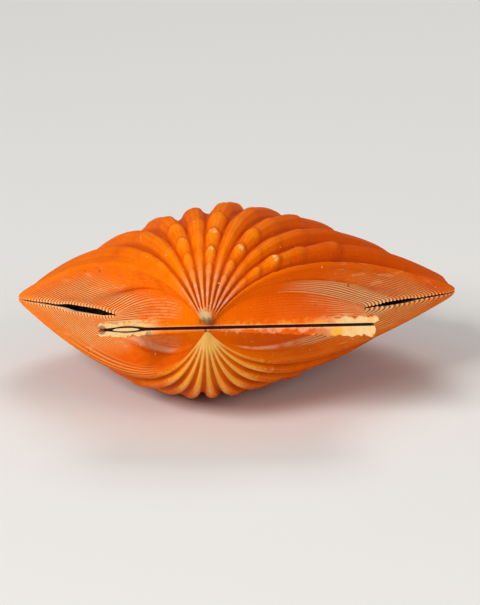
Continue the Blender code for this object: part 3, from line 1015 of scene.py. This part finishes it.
@dataclass(frozen=True)
class Valve:
    """One valve: how it grows, and the ribs, knobs, folds and riblets that it carries."""

    name: str
    node: str
    slot: str
    side: Side
    growth: float
    lean: float
    flattening: float
    corner_flare: float
    knob_height: float
    groove_depth: float
    rib_power: float
    knob_shares: Mapping[float, tuple[float, ...]]
    riblets: Riblets
    finish: ShellFinish
    margin: Margin = Margin()
    hinge_line: Hinge = Hinge()
    rib_depth: float = 4.05
    rib_fade: float = 0.75
    rib_end: float = 4.85
    rib_end_fade: float = 0.4
    margin_fullness: float = 0.35
    profile_from: float = 0.3
    square_to: float = 0.7
    square_fade: float = 0.7
    squareness: float = 0.8
    knob_spacing: float = 0.3
    knob_phase: float = 2.0 / 3.0
    knob_step: float = 0.18
    knob_half_width: float = 0.476
    knob_rounding: float = 0.3
    knob_bluntness: float = 1.3
    knob_breadth: float = 0.7
    knob_foot_width: float = 0.09
    knob_foot_pinch: float = 0.7
    knob_dip: float = 0.15
    knob_swelling: float = 0.5
    knob_shifts: Mapping[float, float] = field(default_factory=dict)
    margin_power: float = 1.05
    umbo_power: float = 0.5
    umbo_from: float = 1.2
    umbo_fade: float = 1.0
    beak_from: float = 2.9
    beak_fade: float = 0.5
    beak_smoothness: float = 0.85
    groove_reach: float = 0.5
    lean_span: float = 60.0
    meeting_gap: float = 0.3
    edge_umbo: float = 0.6
    edge_ribs: float = 0.7
    edge_ear_left: float = 1.3
    edge_ear_right: float = 2.0
    edge_ear_reach: float = 34.0
    ragged_edge: float = 0.07
    ragged_waves: Span = (97.0, 41.0)
    left_slit: Slit = Slit(2.1, 0.9, 0.05, 0.42)
    right_slit: Slit = Slit(1.3, 0.55, 0.09, 0.4)
    gape_reach: float = 0.06
    corner_reach: float = 0.09
    corner_growth: float = 0.03
    tooth: float = 0.35
    tooth_gape: float = 0.7
    ridge_left: float = 1.13
    ridge_right: float = 3.8
    ridge_height: float = 1.3
    ridge_width: float = 0.1
    ridge_start: float = 0.35
    dip_away: float = 0.22
    dip_width: float = 0.12
    dip_share: float = 0.8
    riblet_roundness: float = 0.7
    riblet_height: float = 0.32
    riblet_least: float = 0.1
    riblet_end: float = 1.15
    riblet_fade: float = 0.8
    rib_riblet_height: float = 0.2
    rib_riblet_end: float = 1.6
    rib_riblet_fade: float = 0.5
    rib_riblet_past: float = 0.1
    rib_riblet_change: float = 0.15
    last_growth: float = 4.6
    row_crowding: float = 0.42
    rows: int = 162
    lip_growth: float = 0.035
    lip_share: float = 0.3
    lip_rows: int = 5
    lip_crowding: float = 1.5
    middle_place: float = 2.5
    knob_share_of_crest: float = 0.25
    rim_levels: int = 3
    hollow_step: int = 4
    hollow_rows: int = 14
    hollow_centre: tuple[float, float] = (2.0, 50.0)
    hollow_spread: float = 0.95
    hollow_height: float = 0.88
    hollow_ribs: float = 0.5
    hollow_rib_fade: float = 0.15
    hollow_end: float = 0.1
    sharp_deg: float = 75.0

    def growth_rows(self) -> np.ndarray:
        """Set out the rows, closer together near the margin and closest on its lip.

        Returns:
            The growth of each row, as a column.
        """
        lip_steps = np.linspace(0.0, 1.0, self.lip_rows, endpoint=False)
        lip = self.lip_growth * lip_steps ** self.lip_crowding
        steps = np.linspace(0.0, 1.0, self.rows - self.lip_rows + 1)
        whole = 1.0 - math.exp(-self.row_crowding * (self.last_growth - self.lip_growth))
        rest = self.lip_growth - np.log(1.0 - whole * steps) / self.row_crowding
        return np.concatenate([lip, rest])[:, None]

    def ribbed(self, columns: Columns) -> np.ndarray:
        """Return 1 over the ribs, fading to 0 on the outermost ones."""
        return smooth_step((self.margin.rib_zone - np.abs(columns.rib)) / self.rib_fade)

    def margin_wave(self, columns: Columns) -> np.ndarray:
        """Return how the margin waves: 1 on this valve's ribs and -1 between them."""
        wave = self.side.value * np.cos(2.0 * np.pi * columns.rib)
        return wave * (1.0 + self.margin_fullness - self.margin_fullness * wave * wave)

    def rib_wave(self, columns: Columns, growth: np.ndarray, knobs: Knobs) -> np.ndarray:
        """Work out the ribs' profile: grooves open at the margin, ribs narrower to the umbo.

        Args:
            columns: The places on the margin.
            growth: A column of growth steps.
            knobs: The knobs, where the ribs are wider too.

        Returns:
            A grid of heights, -1 in the grooves and 1 on the crests.
        """
        crest = 0.5 + 0.5 * self.side.value * np.cos(2.0 * np.pi * columns.rib)
        inward = ramp(growth, self.square_to, self.square_fade)
        power = self.margin_power + (self.rib_power - self.margin_power) * inward
        power = power + self.umbo_power * ramp(growth, self.umbo_from, self.umbo_fade)
        profile = crest ** (power * (1.0 - self.knob_swelling * knobs.swell))
        profile = profile + self.squareness * (1.0 - inward) * (smooth_step(profile) - profile)
        share = ramp(growth, 0.0, self.profile_from)
        wave = self.margin_wave(columns) * (1.0 - share) + (2.0 * profile - 1.0) * share
        wave = wave * (1.0 - self.beak_smoothness * ramp(growth, self.beak_from, self.beak_fade))
        ended = smooth_step((self.rib_end - columns.rib) / self.rib_end_fade)
        ended = np.where(columns.rib > 0.0, ended, self.ribbed(columns))
        return wave * (self.ribbed(columns) * (1.0 - share) + ended * share)

    def knobs(self, columns: Columns, growth: np.ndarray) -> Knobs:
        """Work out the knobs, which swell away from the umbo and end in a blunt step.

        Args:
            columns: The places on the margin.
            growth: A column of growth steps.

        Returns:
            The knobs on the same grid.
        """
        ribs = np.array(list(self.knob_shares))
        nearest = np.abs(columns.rib[:, None] - ribs).argmin(axis=1)
        away = (columns.rib - ribs[nearest]) / self.knob_half_width
        shifts = np.array([self.knob_shifts.get(rib, 0.0) for rib in self.knob_shares])
        steps = growth / self.knob_spacing - self.knob_phase - shifts[nearest] + self.knob_step
        steps = steps - self.knob_rounding * np.minimum(away ** 2, 1.0)
        phase = (steps - self.knob_step) % 1.0
        foot_at = 1.0 - self.knob_step
        slope = 0.5 + 0.5 * np.cos(np.pi * np.clip(phase / foot_at, 0.0, 1.0))
        step = np.sin(0.5 * np.pi * np.clip((phase - foot_at) / self.knob_step, 0.0, 1.0))
        along = np.maximum(slope, step) ** self.knob_bluntness
        dip = bell(phase, foot_at, self.knob_foot_width)

        most = max(len(shares) for shares in self.knob_shares.values())
        table = np.zeros((len(ribs), most + 3))
        for row, shares in zip(table, self.knob_shares.values()):
            row[1:len(shares) + 1] = shares
        which = np.clip(np.floor(steps).astype(int), -1, most) + 1
        here = table[nearest[None, :], which]
        beyond = table[nearest[None, :], which + 1]
        across = np.maximum(0.0, 1.0 - away ** 2) ** self.knob_breadth
        foot = np.where(phase < foot_at, beyond, here) * dip
        return Knobs(here * along * across, foot * across, here * along - self.knob_foot_pinch * foot)

    def ridges(self, columns: Columns, growth: np.ndarray) -> np.ndarray:
        """Work out the fold where each ear meets its flank: a ridge, and a dip beyond it.

        Args:
            columns: The places on the margin.
            growth: A column of growth steps.

        Returns:
            A grid of heights in millimetres.
        """
        rise = np.zeros_like(columns.place)
        for middle, towards in ((self.ridge_left, 1.0), (self.ridge_right, -1.0)):
            rise = rise + bell(columns.place, middle, self.ridge_width)
            beyond = middle + self.dip_away * towards
            rise = rise - self.dip_share * bell(columns.place, beyond, self.dip_width)
        return self.ridge_height * rise * ramp(growth, 0.0, self.ridge_start)

    def gape(self, columns: Columns) -> np.ndarray:
        """Work out how far the valves stand apart along each flank: a slit, wide near the notch.

        Args:
            columns: The places on the margin.

        Returns:
            The slits' width at each place, in millimetres.
        """
        along = (
            np.clip(columns.place - Place.LEFT_NOTCH.value, 0.0, 1.0),
            np.clip(Place.RIGHT_NOTCH.value - columns.place, 0.0, 1.0),
        )
        total = np.zeros_like(columns.place)
        for reach, slit in zip(along, (self.left_slit, self.right_slit)):
            total = total + slit.width(reach)
        return total

    def edge_height(self, columns: Columns, growth: np.ndarray) -> np.ndarray:
        """Work out the thickness of the edge: greatest at the hinge's ends, with a rounded lip.

        Args:
            columns: The places on the margin.
            growth: A column of growth steps.

        Returns:
            A grid of thicknesses in millimetres.
        """
        ear = smooth_step(1.0 - columns.y / self.edge_ear_reach)
        tall = np.where(columns.x < 0.0, self.edge_ear_left, self.edge_ear_right)
        margin = self.edge_ribs + (tall - self.edge_ribs) * ear
        scale = np.exp(-growth)
        short = 1.0 - np.clip(growth / self.lip_growth, 0.0, 1.0)
        lip = self.lip_share + (1.0 - self.lip_share) * np.sqrt(1.0 - short ** 2)
        return (self.edge_umbo * (1.0 - scale) + margin * scale) * lip

    def grown(self, columns: Columns, growth: np.ndarray, lift: np.ndarray) -> np.ndarray:
        """Shrink and turn the margin about the hinge line, as the valve once was.

        Args:
            columns: The places on the margin.
            growth: A column of growth steps.
            lift: How far the surface stands off the plain margin, on the same grid.

        Returns:
            A grid of points on the valve's own side.
        """
        scale = np.exp(-growth)
        reach = columns.x / self.lean_span
        turn = growth / (self.growth * (1.0 + self.lean * reach + self.flattening * reach ** 2))
        x = scale * columns.x
        y = scale * (columns.y * np.cos(turn) - lift * np.sin(turn))
        z = scale * (columns.y * np.sin(turn) + lift * np.cos(turn))
        return np.stack([x, y, z], axis=2)

    def flare(self, columns: Columns, growth: np.ndarray) -> np.ndarray:
        """Return how far the outer lip of the right ear's corner stands out past its foot."""
        near = bell(columns.place, Place.RIGHT_END.value, self.corner_reach)
        return self.corner_flare * near * np.exp(-growth / self.corner_growth)

    def riblet_rise(self, columns: Columns, growth: np.ndarray) -> np.ndarray:
        """Work out how far the fine riblets stand off the surface, more on the flanks and ears.

        Args:
            columns: The places on the margin.
            growth: A column of growth steps.

        Returns:
            A grid of heights in millimetres.
        """
        wave = columns.riblet_wave() ** self.riblet_roundness - 0.5
        past_first = columns.place - (Place.FIRST_RIB.value - self.rib_riblet_past)
        short_of_last = Place.LAST_RIB.value + self.rib_riblet_past - columns.place
        on_ribs = smooth_step(past_first / self.rib_riblet_change)
        on_ribs = on_ribs * smooth_step(short_of_last / self.rib_riblet_change)
        young = smooth_step((self.riblet_end - growth) / self.riblet_fade)
        young_rib = smooth_step((self.rib_riblet_end - growth) / self.rib_riblet_fade)
        height = self.riblet_height * (self.riblet_least + (1.0 - self.riblet_least) * young)
        height = height * (1.0 - on_ribs) + self.rib_riblet_height * on_ribs * young_rib
        return wave * height * np.exp(-growth)

    def outside(self, columns: Columns, growth: np.ndarray) -> np.ndarray:
        """Work out the outer surface, from the margin up to the beak.

        Args:
            columns: The places on the margin.
            growth: A column of growth steps.

        Returns:
            A grid of points, with the valve's edge, ribs, knobs, ridges and riblets.
        """
        knobs = self.knobs(columns, growth)
        wave = self.rib_wave(columns, growth, knobs)
        groove = ramp(growth, 0.0, self.groove_reach) * np.maximum(0.0, -wave)
        lift = 0.5 * self.rib_depth * wave - self.groove_depth * groove + self.ridges(columns, growth)
        lift = lift + self.knob_height * (knobs.height - self.knob_dip * knobs.foot)
        lift = lift + 0.5 * self.gape(columns) * np.exp(-growth / self.gape_reach)
        points = self.grown(columns, growth, lift)
        points[:, :, 0] += self.flare(columns, growth)
        rise = self.meeting_gap / 2 + self.edge_height(columns, growth)
        ends = points[:, [0, -1], 0]
        fine_wave, wide_wave = self.ragged_waves
        ragged = np.sin(fine_wave * growth) + np.sin(wide_wave * growth + 1.0)
        rise[:, [0, -1]] *= 1.0 + self.ragged_edge * ragged
        rise[:, [0, -1]] += self.hinge_line.half_gap(ends) - self.meeting_gap / 2
        points[:, :, 2] += rise
        along_row = np.gradient(points, axis=1)
        along_column = np.gradient(points, axis=0)
        normal = np.cross(along_column, along_row)
        normal /= np.linalg.norm(normal, axis=2, keepdims=True) + 1e-9
        fine = self.riblet_rise(columns, growth)
        fine[:, [0, -1]] = 0.0
        return points + normal * fine[:, :, None]

    def foot(self, columns: Columns, outside: np.ndarray) -> np.ndarray:
        """Work out the rim's lower edge along the margin, with a tooth at the end of each riblet.

        Args:
            columns: The places on the margin.
            outside: The outer surface, whose first row the edge stays under.

        Returns:
            The edge's points.
        """
        lift = 0.5 * self.rib_depth * self.margin_wave(columns) * self.ribbed(columns)
        gape = self.gape(columns)
        margin = self.grown(columns, np.zeros((1, 1)), (lift + 0.5 * gape)[None])[0]
        teeth = self.tooth * columns.riblet_wave() * np.clip(gape / self.tooth_gape, 0.0, 1.0)
        margin[:, 2] += self.meeting_gap / 2 - teeth
        margin[:, :2] = outside[0, :, :2]
        margin[:, 0] -= self.flare(columns, np.zeros((1, 1)))[0]
        return margin

    def hollow(self, columns: Columns) -> tuple[np.ndarray, np.ndarray]:
        """Work out the inside, which is the outside drawn in and with lower ribs.

        Args:
            columns: The places on the margin.

        Returns:
            A grid of points, and the growth of its rows.
        """
        growth = np.linspace(0.0, -math.log(self.hollow_end), self.hollow_rows + 1)[:, None]
        share = self.hollow_ribs + (1.0 - self.hollow_ribs) * np.exp(-growth / self.hollow_rib_fade)
        lift = 0.5 * self.rib_depth * self.margin_wave(columns) * self.ribbed(columns) * share
        lift = lift + 0.5 * self.gape(columns) * np.exp(-growth / self.gape_reach)
        points = self.grown(columns, growth, lift)
        centre = np.array([*self.hollow_centre, 0.0])
        spread = np.array([self.hollow_spread, self.hollow_spread, self.hollow_height])
        points = centre + spread * (points - centre)
        points[:, :, 2] += self.meeting_gap / 2
        return points, growth

    def facts(self, columns: Columns, growth: np.ndarray) -> dict[str, Fact]:
        """Gather what the outer surface carries for its finish.

        Args:
            columns: The places on the margin.
            growth: A column of growth steps.

        Returns:
            Each fact by name, on the surface's grid or ready to spread over it.
        """
        knobs = self.knobs(columns, growth)
        wave = self.rib_wave(columns, growth, knobs)
        return {
            "growth": growth,
            "place": columns.place,
            "riblet": columns.riblet,
            "crest": 0.5 + 0.5 * wave + self.knob_share_of_crest * knobs.height,
            "knob": knobs.height,
            "foot": knobs.foot,
        }

    def rim_foot(self, columns: Columns, growth: np.ndarray, outside: np.ndarray) -> np.ndarray:
        """Set out the rim's lower edge: down the left hinge, along the margin, up the right one.

        Args:
            columns: The places on the margin.
            growth: A column of growth steps.
            outside: The outer surface.

        Returns:
            The edge's points, one below each point of the outer surface's open edge.
        """
        ends = [outside[:0:-1, 0].copy(), outside[1:, -1].copy()]
        ends[1][:, 0] -= self.flare(columns, growth)[1:, -1]
        for end in ends:
            end[:, 2] = self.hinge_line.half_gap(end[:, 0])
        margin = self.foot(columns, outside)
        margin[[0, -1], 2] = self.hinge_line.half_gap(margin[[0, -1], 0])
        return np.concatenate([ends[0], margin, ends[1]])

    def add_rim(
        self, surface: Surface, outer: np.ndarray, top: np.ndarray, foot: np.ndarray, facts: dict[str, Fact]
    ) -> np.ndarray:
        """Add the rim, in levels from the outer surface's open edge down to its own lower edge.

        Args:
            surface: What the valve is gathered in.
            outer: The outer surface's point numbers.
            top: The outer surface's open edge.
            foot: The rim's lower edge.
            facts: What the outer surface carries.

        Returns:
            The point numbers of the rim's lower edge.
        """
        carried = {name: self.around(np.broadcast_to(fact, outer.shape)) for name, fact in facts.items()}
        carried.update(knob=0.0, foot=0.0)
        levels = [self.around(outer)]
        for level in range(1, self.rim_levels + 1):
            share = level / self.rim_levels
            levels.append(surface.add(top + (foot - top) * share, rim=share, **carried))
        rim = np.stack(levels)
        surface.quads(rim)
        surface.face(np.concatenate([rim[:, 0], rim[::-1, -1]]))
        return rim[-1]

    def add_cap(self, surface: Surface, points: np.ndarray, numbers: np.ndarray, **carried: float) -> None:
        """Close a grid's last row, the small ring at the beak, with triangles about its middle.

        Args:
            surface: What the valve is gathered in.
            points: The grid.
            numbers: Its point numbers.
            carried: What the middle carries beside what is the same on both sides of the wall.
        """
        point = points[-1].mean(axis=0)[None]
        middle = surface.add(point, place=self.middle_place, riblet=0.5, knob=0.0, foot=0.0, **carried)
        surface.fan(numbers[-1], int(middle[0]))

    def add_inside(self, surface: Surface, columns: Columns, edge: np.ndarray) -> None:
        """Add the inside and join it to the rim.

        Args:
            surface: What the valve is gathered in.
            columns: The places on the margin.
            edge: The point numbers of the rim's lower edge.
        """
        few = columns.every(self.hollow_step)
        inside, growth = self.hollow(few)
        facts = {"place": few.place, "riblet": few.riblet, "knob": 0.0, "foot": 0.0}
        inner = surface.add(inside, rim=2.0, crest=0.5, growth=growth, **facts)
        surface.quads(inner)
        self.add_cap(surface, inside, inner, rim=2.0, crest=0.5, growth=float(growth[-1, 0]))
        first = self.rows
        last = first + len(columns.x) - 1
        surface.zip_lines(edge[first:last + 1], inner[0])
        surface.zip_lines(edge[:first + 1][::-1], inner[:, 0])
        surface.zip_lines(edge[last:], inner[:, -1])
        surface.face(np.array([edge[0], edge[-1], inner[-1, -1], inner[-1, 0]]))

    def build(self, attitude: Attitude) -> bpy.types.Object:
        """Build the valve as one closed mesh and dress it.

        Args:
            attitude: How it lies in the frame.

        Returns:
            The valve, riding on the root body in place of its plain node.
        """
        columns = Columns.on(self.margin, self.riblets)
        growth = self.growth_rows()
        outside = self.outside(columns, growth)
        facts = self.facts(columns, growth)
        surface = Surface()
        outer = surface.add(outside, rim=0.0, **facts)
        surface.quads(outer)
        foot = self.rim_foot(columns, growth, outside)
        edge = self.add_rim(surface, outer, self.around(outside), foot, facts)
        self.add_cap(surface, outside, outer, rim=0.0, crest=1.0, growth=self.last_growth)
        self.add_inside(surface, columns, edge)
        piece = surface.make(self.name, self.side, attitude, self.sharp_deg)
        piece.data.materials.append(self.finish.make())
        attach(piece, "root")
        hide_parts(self.node)
        return piece

    def around(self, grid: np.ndarray) -> np.ndarray:
        """Return a grid's open edge: down the left hinge, along the margin, up the right hinge."""
        return np.concatenate([grid[:0:-1, 0], grid[0], grid[1:, -1]])


@dataclass(frozen=True)
class LigamentFinish:
    """Dried ligament: almost black brown, with a pale worn lens where it bows."""

    name: str = "dried_ligament"
    dark: Colour = tone(44, 10, 2)
    rust: Colour = tone(78, 30, 6)
    cream: Colour = tone(232, 194, 138)
    stain: Colour = tone(134, 66, 50)
    lens_middle: float = -20.7
    lens_half_length: float = 3.5
    lens_half_height: float = 0.45
    end_stain: Span = (-26.6, -26.0)
    shine: float = 0.1
    fibre_relief: float = 0.2

    def make(self) -> bpy.types.Material:
        """Make the material.

        Returns:
            The material, which reads the strip's own places.
        """
        bench = Bench(self.name)
        own = bench.carried("own", "Vector")
        x, _, z = bench.parts(own)
        fibres = bench.noise(bench.vector(x * 0.6, z * 6.0), 1.0, 4.0)
        colour = bench.blend(self.dark, self.rust, fibres.rise(0.5, 0.8) * 0.6)
        along = (x - self.lens_middle) / self.lens_half_length
        across = z / self.lens_half_height
        lens = 1.0 - (along * along + across * across + 0.5 * (fibres - 0.5)).rise(0.8, 1.0)
        colour = bench.blend(colour, self.cream, lens)
        colour = bench.blend(self.stain, colour, x.rise(*self.end_stain))
        bench.feed(bench.shader.inputs["Base Color"], colour)
        bench.feed(bench.shader.inputs["Specular IOR Level"], self.shine)
        bench.feed(bench.shader.inputs["Roughness"], 0.6 + 0.3 * fibres)
        bench.feed(bench.shader.inputs["Normal"], bench.raised(fibres, self.fibre_relief * MM))
        return bench.material


@dataclass(frozen=True)
class Ligament:
    """The thin strip that fills the hinge, thicker where the edges bow apart."""

    hinge_line: Hinge = Hinge()
    plain_hinge: Hinge = Hinge(bow=0.7)
    margin: Margin = Margin()
    finish: LigamentFinish = LigamentFinish()
    thickness: float = 0.4
    front: float = -0.3
    back: float = 1.8
    end_gap: float = 0.4
    end_taper: float = 1.0
    blunt_end: float = 0.06
    roundness: float = 0.12
    wrinkles: tuple[tuple[float, float, float], ...] = ((0.04, 2.1, 3.0), (0.03, 5.3, -2.0))
    sharp_deg: float = 60.0
    stations: int = 280
    profile_points: int = 9
    plain_stations: int = 36

    def half_heights(self, x: np.ndarray, line: Hinge) -> tuple[np.ndarray, np.ndarray]:
        """Return half the strip's height at its front and at its back, for one hinge."""
        front = self.thickness / 2 + line.half_gap(x) - line.gap / 2
        return front, self.thickness / 4 + (front - self.thickness / 2) / 4

    def ends(self) -> tuple[float, float]:
        """Return where the strip starts and stops along the hinge."""
        return -self.margin.hinge_left + self.end_gap, self.margin.hinge_right - self.end_gap

    def plain_corners(self) -> np.ndarray:
        """Set out the four long edges of the plain strip, whose box is the frame's.

        Returns:
            Their points on the shell's own axes.
        """
        x = np.linspace(*self.ends(), self.plain_stations)
        front, back = self.half_heights(x, self.plain_hinge)
        edges = ((self.front, front), (self.front, -front), (self.back, -back), (self.back, back))
        return np.vstack([np.stack([x, np.full_like(x, y), z], axis=1) for y, z in edges])

    def build(self, attitude: Attitude) -> bpy.types.Object:
        """Build the strip with a rounded, wrinkled front, and dress it.

        Args:
            attitude: How it lies in the frame.

        Returns:
            The strip, riding on the root body in place of its plain node.
        """
        x = np.linspace(*self.ends(), self.stations)
        front, back = self.half_heights(x, self.hinge_line)
        ends = np.sqrt(np.clip(np.minimum(x - x[0], x[-1] - x) / self.end_taper, self.blunt_end, 1.0))
        rows = []
        for angle in np.linspace(-np.pi / 2, np.pi / 2, self.profile_points):
            wrinkle = sum(deep * np.sin(close * x + turn * angle) for deep, close, turn in self.wrinkles)
            y = self.front + (self.roundness - wrinkle) * (1.0 - math.cos(angle)) + np.abs(wrinkle)
            rows.append(np.stack([x, y, front * ends * math.sin(angle)], axis=1))
        rows.append(np.stack([x, np.full_like(x, self.back), back * ends], axis=1))
        rows.append(np.stack([x, np.full_like(x, self.back), -back * ends], axis=1))
        surface = Surface()
        grid = surface.add(np.stack(rows))
        surface.quads(np.vstack([grid, grid[:1]]))
        surface.face(grid[:, 0])
        surface.face(grid[::-1, -1])
        piece = surface.make("hinge_ligament_strip", Side.UPPER, attitude, self.sharp_deg)
        piece.data.materials.append(self.finish.make())
        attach(piece, "root")
        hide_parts("hinge_ligament")
        return piece


@dataclass(frozen=True)
class Lamp:
    """One soft square lamp: where it hangs and how wide it is, in metres, and its power."""

    name: str
    at: tuple[float, float, float]
    width: float
    watts: float

    def hang(self, aim: tuple[float, float, float]) -> bpy.types.Object:
        """Hang the lamp.

        Args:
            aim: The place that it faces.

        Returns:
            The lamp.
        """
        data = bpy.data.lights.new(self.name, "AREA")
        data.size = self.width
        data.energy = self.watts
        lamp = bpy.data.objects.new(self.name, data)
        lamp.location = self.at
        facing = Vector(aim) - Vector(self.at)
        lamp.rotation_mode = "QUATERNION"
        lamp.rotation_quaternion = facing.to_track_quat("-Z", "Y")
        bpy.context.scene.collection.objects.link(lamp)
        return lamp


@dataclass(frozen=True)
class Studio:
    """A pale floor, soft lamps round the shell, and the camera where the photo was taken."""

    floor_half: float = 4.0
    floor_tone: Colour = tone(232, 231, 229)
    floor_roughness: float = 0.85
    sky_tone: Colour = tone(252, 247, 239)
    sky_strength: float = 0.26
    lamps: tuple[Lamp, ...] = (
        Lamp("key_lamp", (-0.95, -1.15, 0.95), 0.7, 25.0),
        Lamp("fill_lamp", (1.2, -1.0, 0.6), 0.9, 9.0),
        Lamp("back_lamp", (0.2, 1.0, 1.2), 0.8, 7.0),
    )
    lamp_aim: tuple[float, float, float] = (0.0, 0.0, 0.03)
    camera_distance: float = 800.0
    camera_rise_deg: float = 8.05
    camera_yaw_deg: float = 4.33
    camera_roll_deg: float = 1.83
    scale_px_per_mm: float = 3.9545
    umbo_pixel: tuple[float, float] = (207.5, 327.8)
    sensor_mm: float = 36.0

    def floor(self) -> bpy.types.Object:
        """Make the floor that the shell rests on.

        Returns:
            The floor, which is no part of the shell.
        """
        half = self.floor_half
        mesh = bpy.data.meshes.new("studio_floor")
        corners = [(-half, -half, 0.0), (half, -half, 0.0), (half, half, 0.0), (-half, half, 0.0)]
        mesh.from_pydata(corners, [], [(0, 1, 2, 3)])
        bench = Bench("matt_floor")
        bench.feed(bench.shader.inputs["Base Color"], self.floor_tone)
        bench.feed(bench.shader.inputs["Roughness"], self.floor_roughness)
        mesh.materials.append(bench.material)
        floor = bpy.data.objects.new("studio_floor", mesh)
        bpy.context.scene.collection.objects.link(floor)
        return floor

    def sky(self) -> None:
        """Light the room evenly from all round."""
        world = bpy.data.worlds.new("soft_room")
        world.use_nodes = True
        background = world.node_tree.nodes["Background"]
        background.inputs["Color"].default_value = self.sky_tone
        background.inputs["Strength"].default_value = self.sky_strength
        bpy.context.scene.world = world
        bpy.context.scene.view_settings.view_transform = "Standard"

    def camera(self, attitude: Attitude) -> bpy.types.Object:
        """Put the camera where the photo was taken, aimed so that the umbo falls on its pixel.

        Args:
            attitude: How the shell lies in the frame.

        Returns:
            The scene's camera.
        """
        rise, yaw, roll = (
            math.radians(angle)
            for angle in (self.camera_rise_deg, self.camera_yaw_deg, self.camera_roll_deg)
        )
        ahead = Vector((-math.sin(yaw) * math.cos(rise), math.cos(yaw) * math.cos(rise), -math.sin(rise)))
        level = Vector((math.cos(yaw), math.sin(yaw), 0.0))
        upright = level.cross(ahead)
        right = math.cos(roll) * level - math.sin(roll) * upright
        up = math.cos(roll) * upright + math.sin(roll) * level
        focal = self.scale_px_per_mm * self.camera_distance
        across = IMAGE_SIZE[0] / 2 - self.umbo_pixel[0]
        above = self.umbo_pixel[1] - IMAGE_SIZE[1] / 2
        aim = (ahead * focal + right * across + up * above).normalized()
        right = (right - aim * right.dot(aim)).normalized()
        up = right.cross(aim)
        turn = attitude.turn.to_3x3()
        axes = Matrix([turn @ right, turn @ up, turn @ -aim]).transposed()
        data = bpy.data.cameras.new("photo_camera")
        data.sensor_width = self.sensor_mm
        data.lens = focal * self.sensor_mm / max(IMAGE_SIZE)
        camera = bpy.data.objects.new("photo_camera", data)
        place = attitude.umbo - (turn @ ahead) * self.camera_distance * MM
        camera.matrix_world = Matrix.Translation(place) @ axes.to_4x4()
        bpy.context.scene.collection.objects.link(camera)
        bpy.context.scene.camera = camera
        return camera

    def build(self, attitude: Attitude) -> None:
        """Set up the floor, the light and the camera.

        Args:
            attitude: How the shell lies in the frame.
        """
        self.floor()
        self.sky()
        for lamp in self.lamps:
            lamp.hang(self.lamp_aim)
        self.camera(attitude)


def shell_pieces() -> tuple[Valve, Valve, Ligament]:
    """Describe the three pieces of the shell as this one has them.

    Returns:
        The upper valve, the lower valve and the ligament.
    """
    upper = Valve(
        name="upper_valve_shell",
        node="upper_valve",
        slot="upper_shell",
        side=Side.UPPER,
        growth=1.55,
        lean=-0.03,
        flattening=0.12,
        corner_flare=1.1,
        groove_depth=1.5,
        rib_power=0.6,
        knob_height=3.3,
        knob_shares={
            -4: (0.0, 0.0, 0.1, 0.2, 0.4, 0.3),
            -3: (0.0, 0.0, 0.1, 0.1, 0.2, 0.1),
            -2: (0.3, 0.2, 0.35, 0.7, 0.9, 0.8, 0.5, 0.2),
            -1: (0.1, 0.1, 0.2, 0.2, 0.2, 0.2),
            0: (0.9, 0.75, 0.6, 0.8, 1.0, 1.0, 0.6, 0.2),
            1: (0.1, 0.1, 0.2, 0.2, 0.2, 0.2),
            2: (0.3, 0.3, 0.35, 0.8, 1.0, 0.8, 0.7, 0.3),
            3: (0.1, 0.1, 0.2, 0.3, 0.4, 0.3, 0.2),
            4: (0.0, 0.1, 0.5, 0.4, 1.0, 0.7, 0.5, 0.2),
        },
        knob_shifts={2: 0.38, 4: -0.53},
        riblets=Riblets(9, 38, 5, 31, 10),
        finish=ShellFinish("upper_shell_orange", Side.UPPER),
    )
    lower = Valve(
        name="lower_valve_shell",
        node="lower_valve",
        slot="lower_shell",
        side=Side.LOWER,
        growth=1.8,
        lean=0.1,
        flattening=0.03,
        corner_flare=0.2,
        riblet_end=0.85,
        groove_depth=2.8,
        rib_power=0.95,
        rib_end=4.5,
        rib_end_fade=0.75,
        edge_ear_right=2.7,
        knob_height=1.6,
        knob_shares={
            -3.5: (0.5, 0.6, 0.6, 0.3, 0.1),
            -2.5: (0.1, 0.1, 0.1),
            -1.5: (0.8, 1.0, 1.0, 0.4, 0.2),
            -0.5: (0.1, 0.2, 0.1),
            0.5: (0.8, 1.0, 1.0, 0.4, 0.2),
            1.5: (0.1, 0.2, 0.1),
            2.5: (0.5, 0.7, 0.7, 0.3, 0.1),
            3.5: (0.1, 0.1, 0.1),
        },
        riblets=Riblets(9, 38, 5, 22, 10),
        finish=ShellFinish(
            "lower_shell_orange",
            Side.LOWER,
            brightness=0.79,
            riblets_to=0.7,
            band_raggedness=6.0,
            right_band_more=1.1,
        ),
    )
    return upper, lower, Ligament()


def main() -> None:
    """Build the shell's pieces, then the studio, and note each piece's triangle count."""
    logging.basicConfig(level=logging.INFO, format="%(message)s")
    upper, lower, ligament = shell_pieces()
    rest = Rest()
    attitude = Attitude(rest.turn(), rest.umbo(ligament.plain_corners()))
    for maker in (upper, lower, ligament):
        piece = maker.build(attitude)
        triangles = sum(len(face.vertices) - 2 for face in piece.data.polygons)
        report.info("%s: %d triangles", piece.name, triangles)
    Studio().build(attitude)


if __name__ == "__main__":
    main()
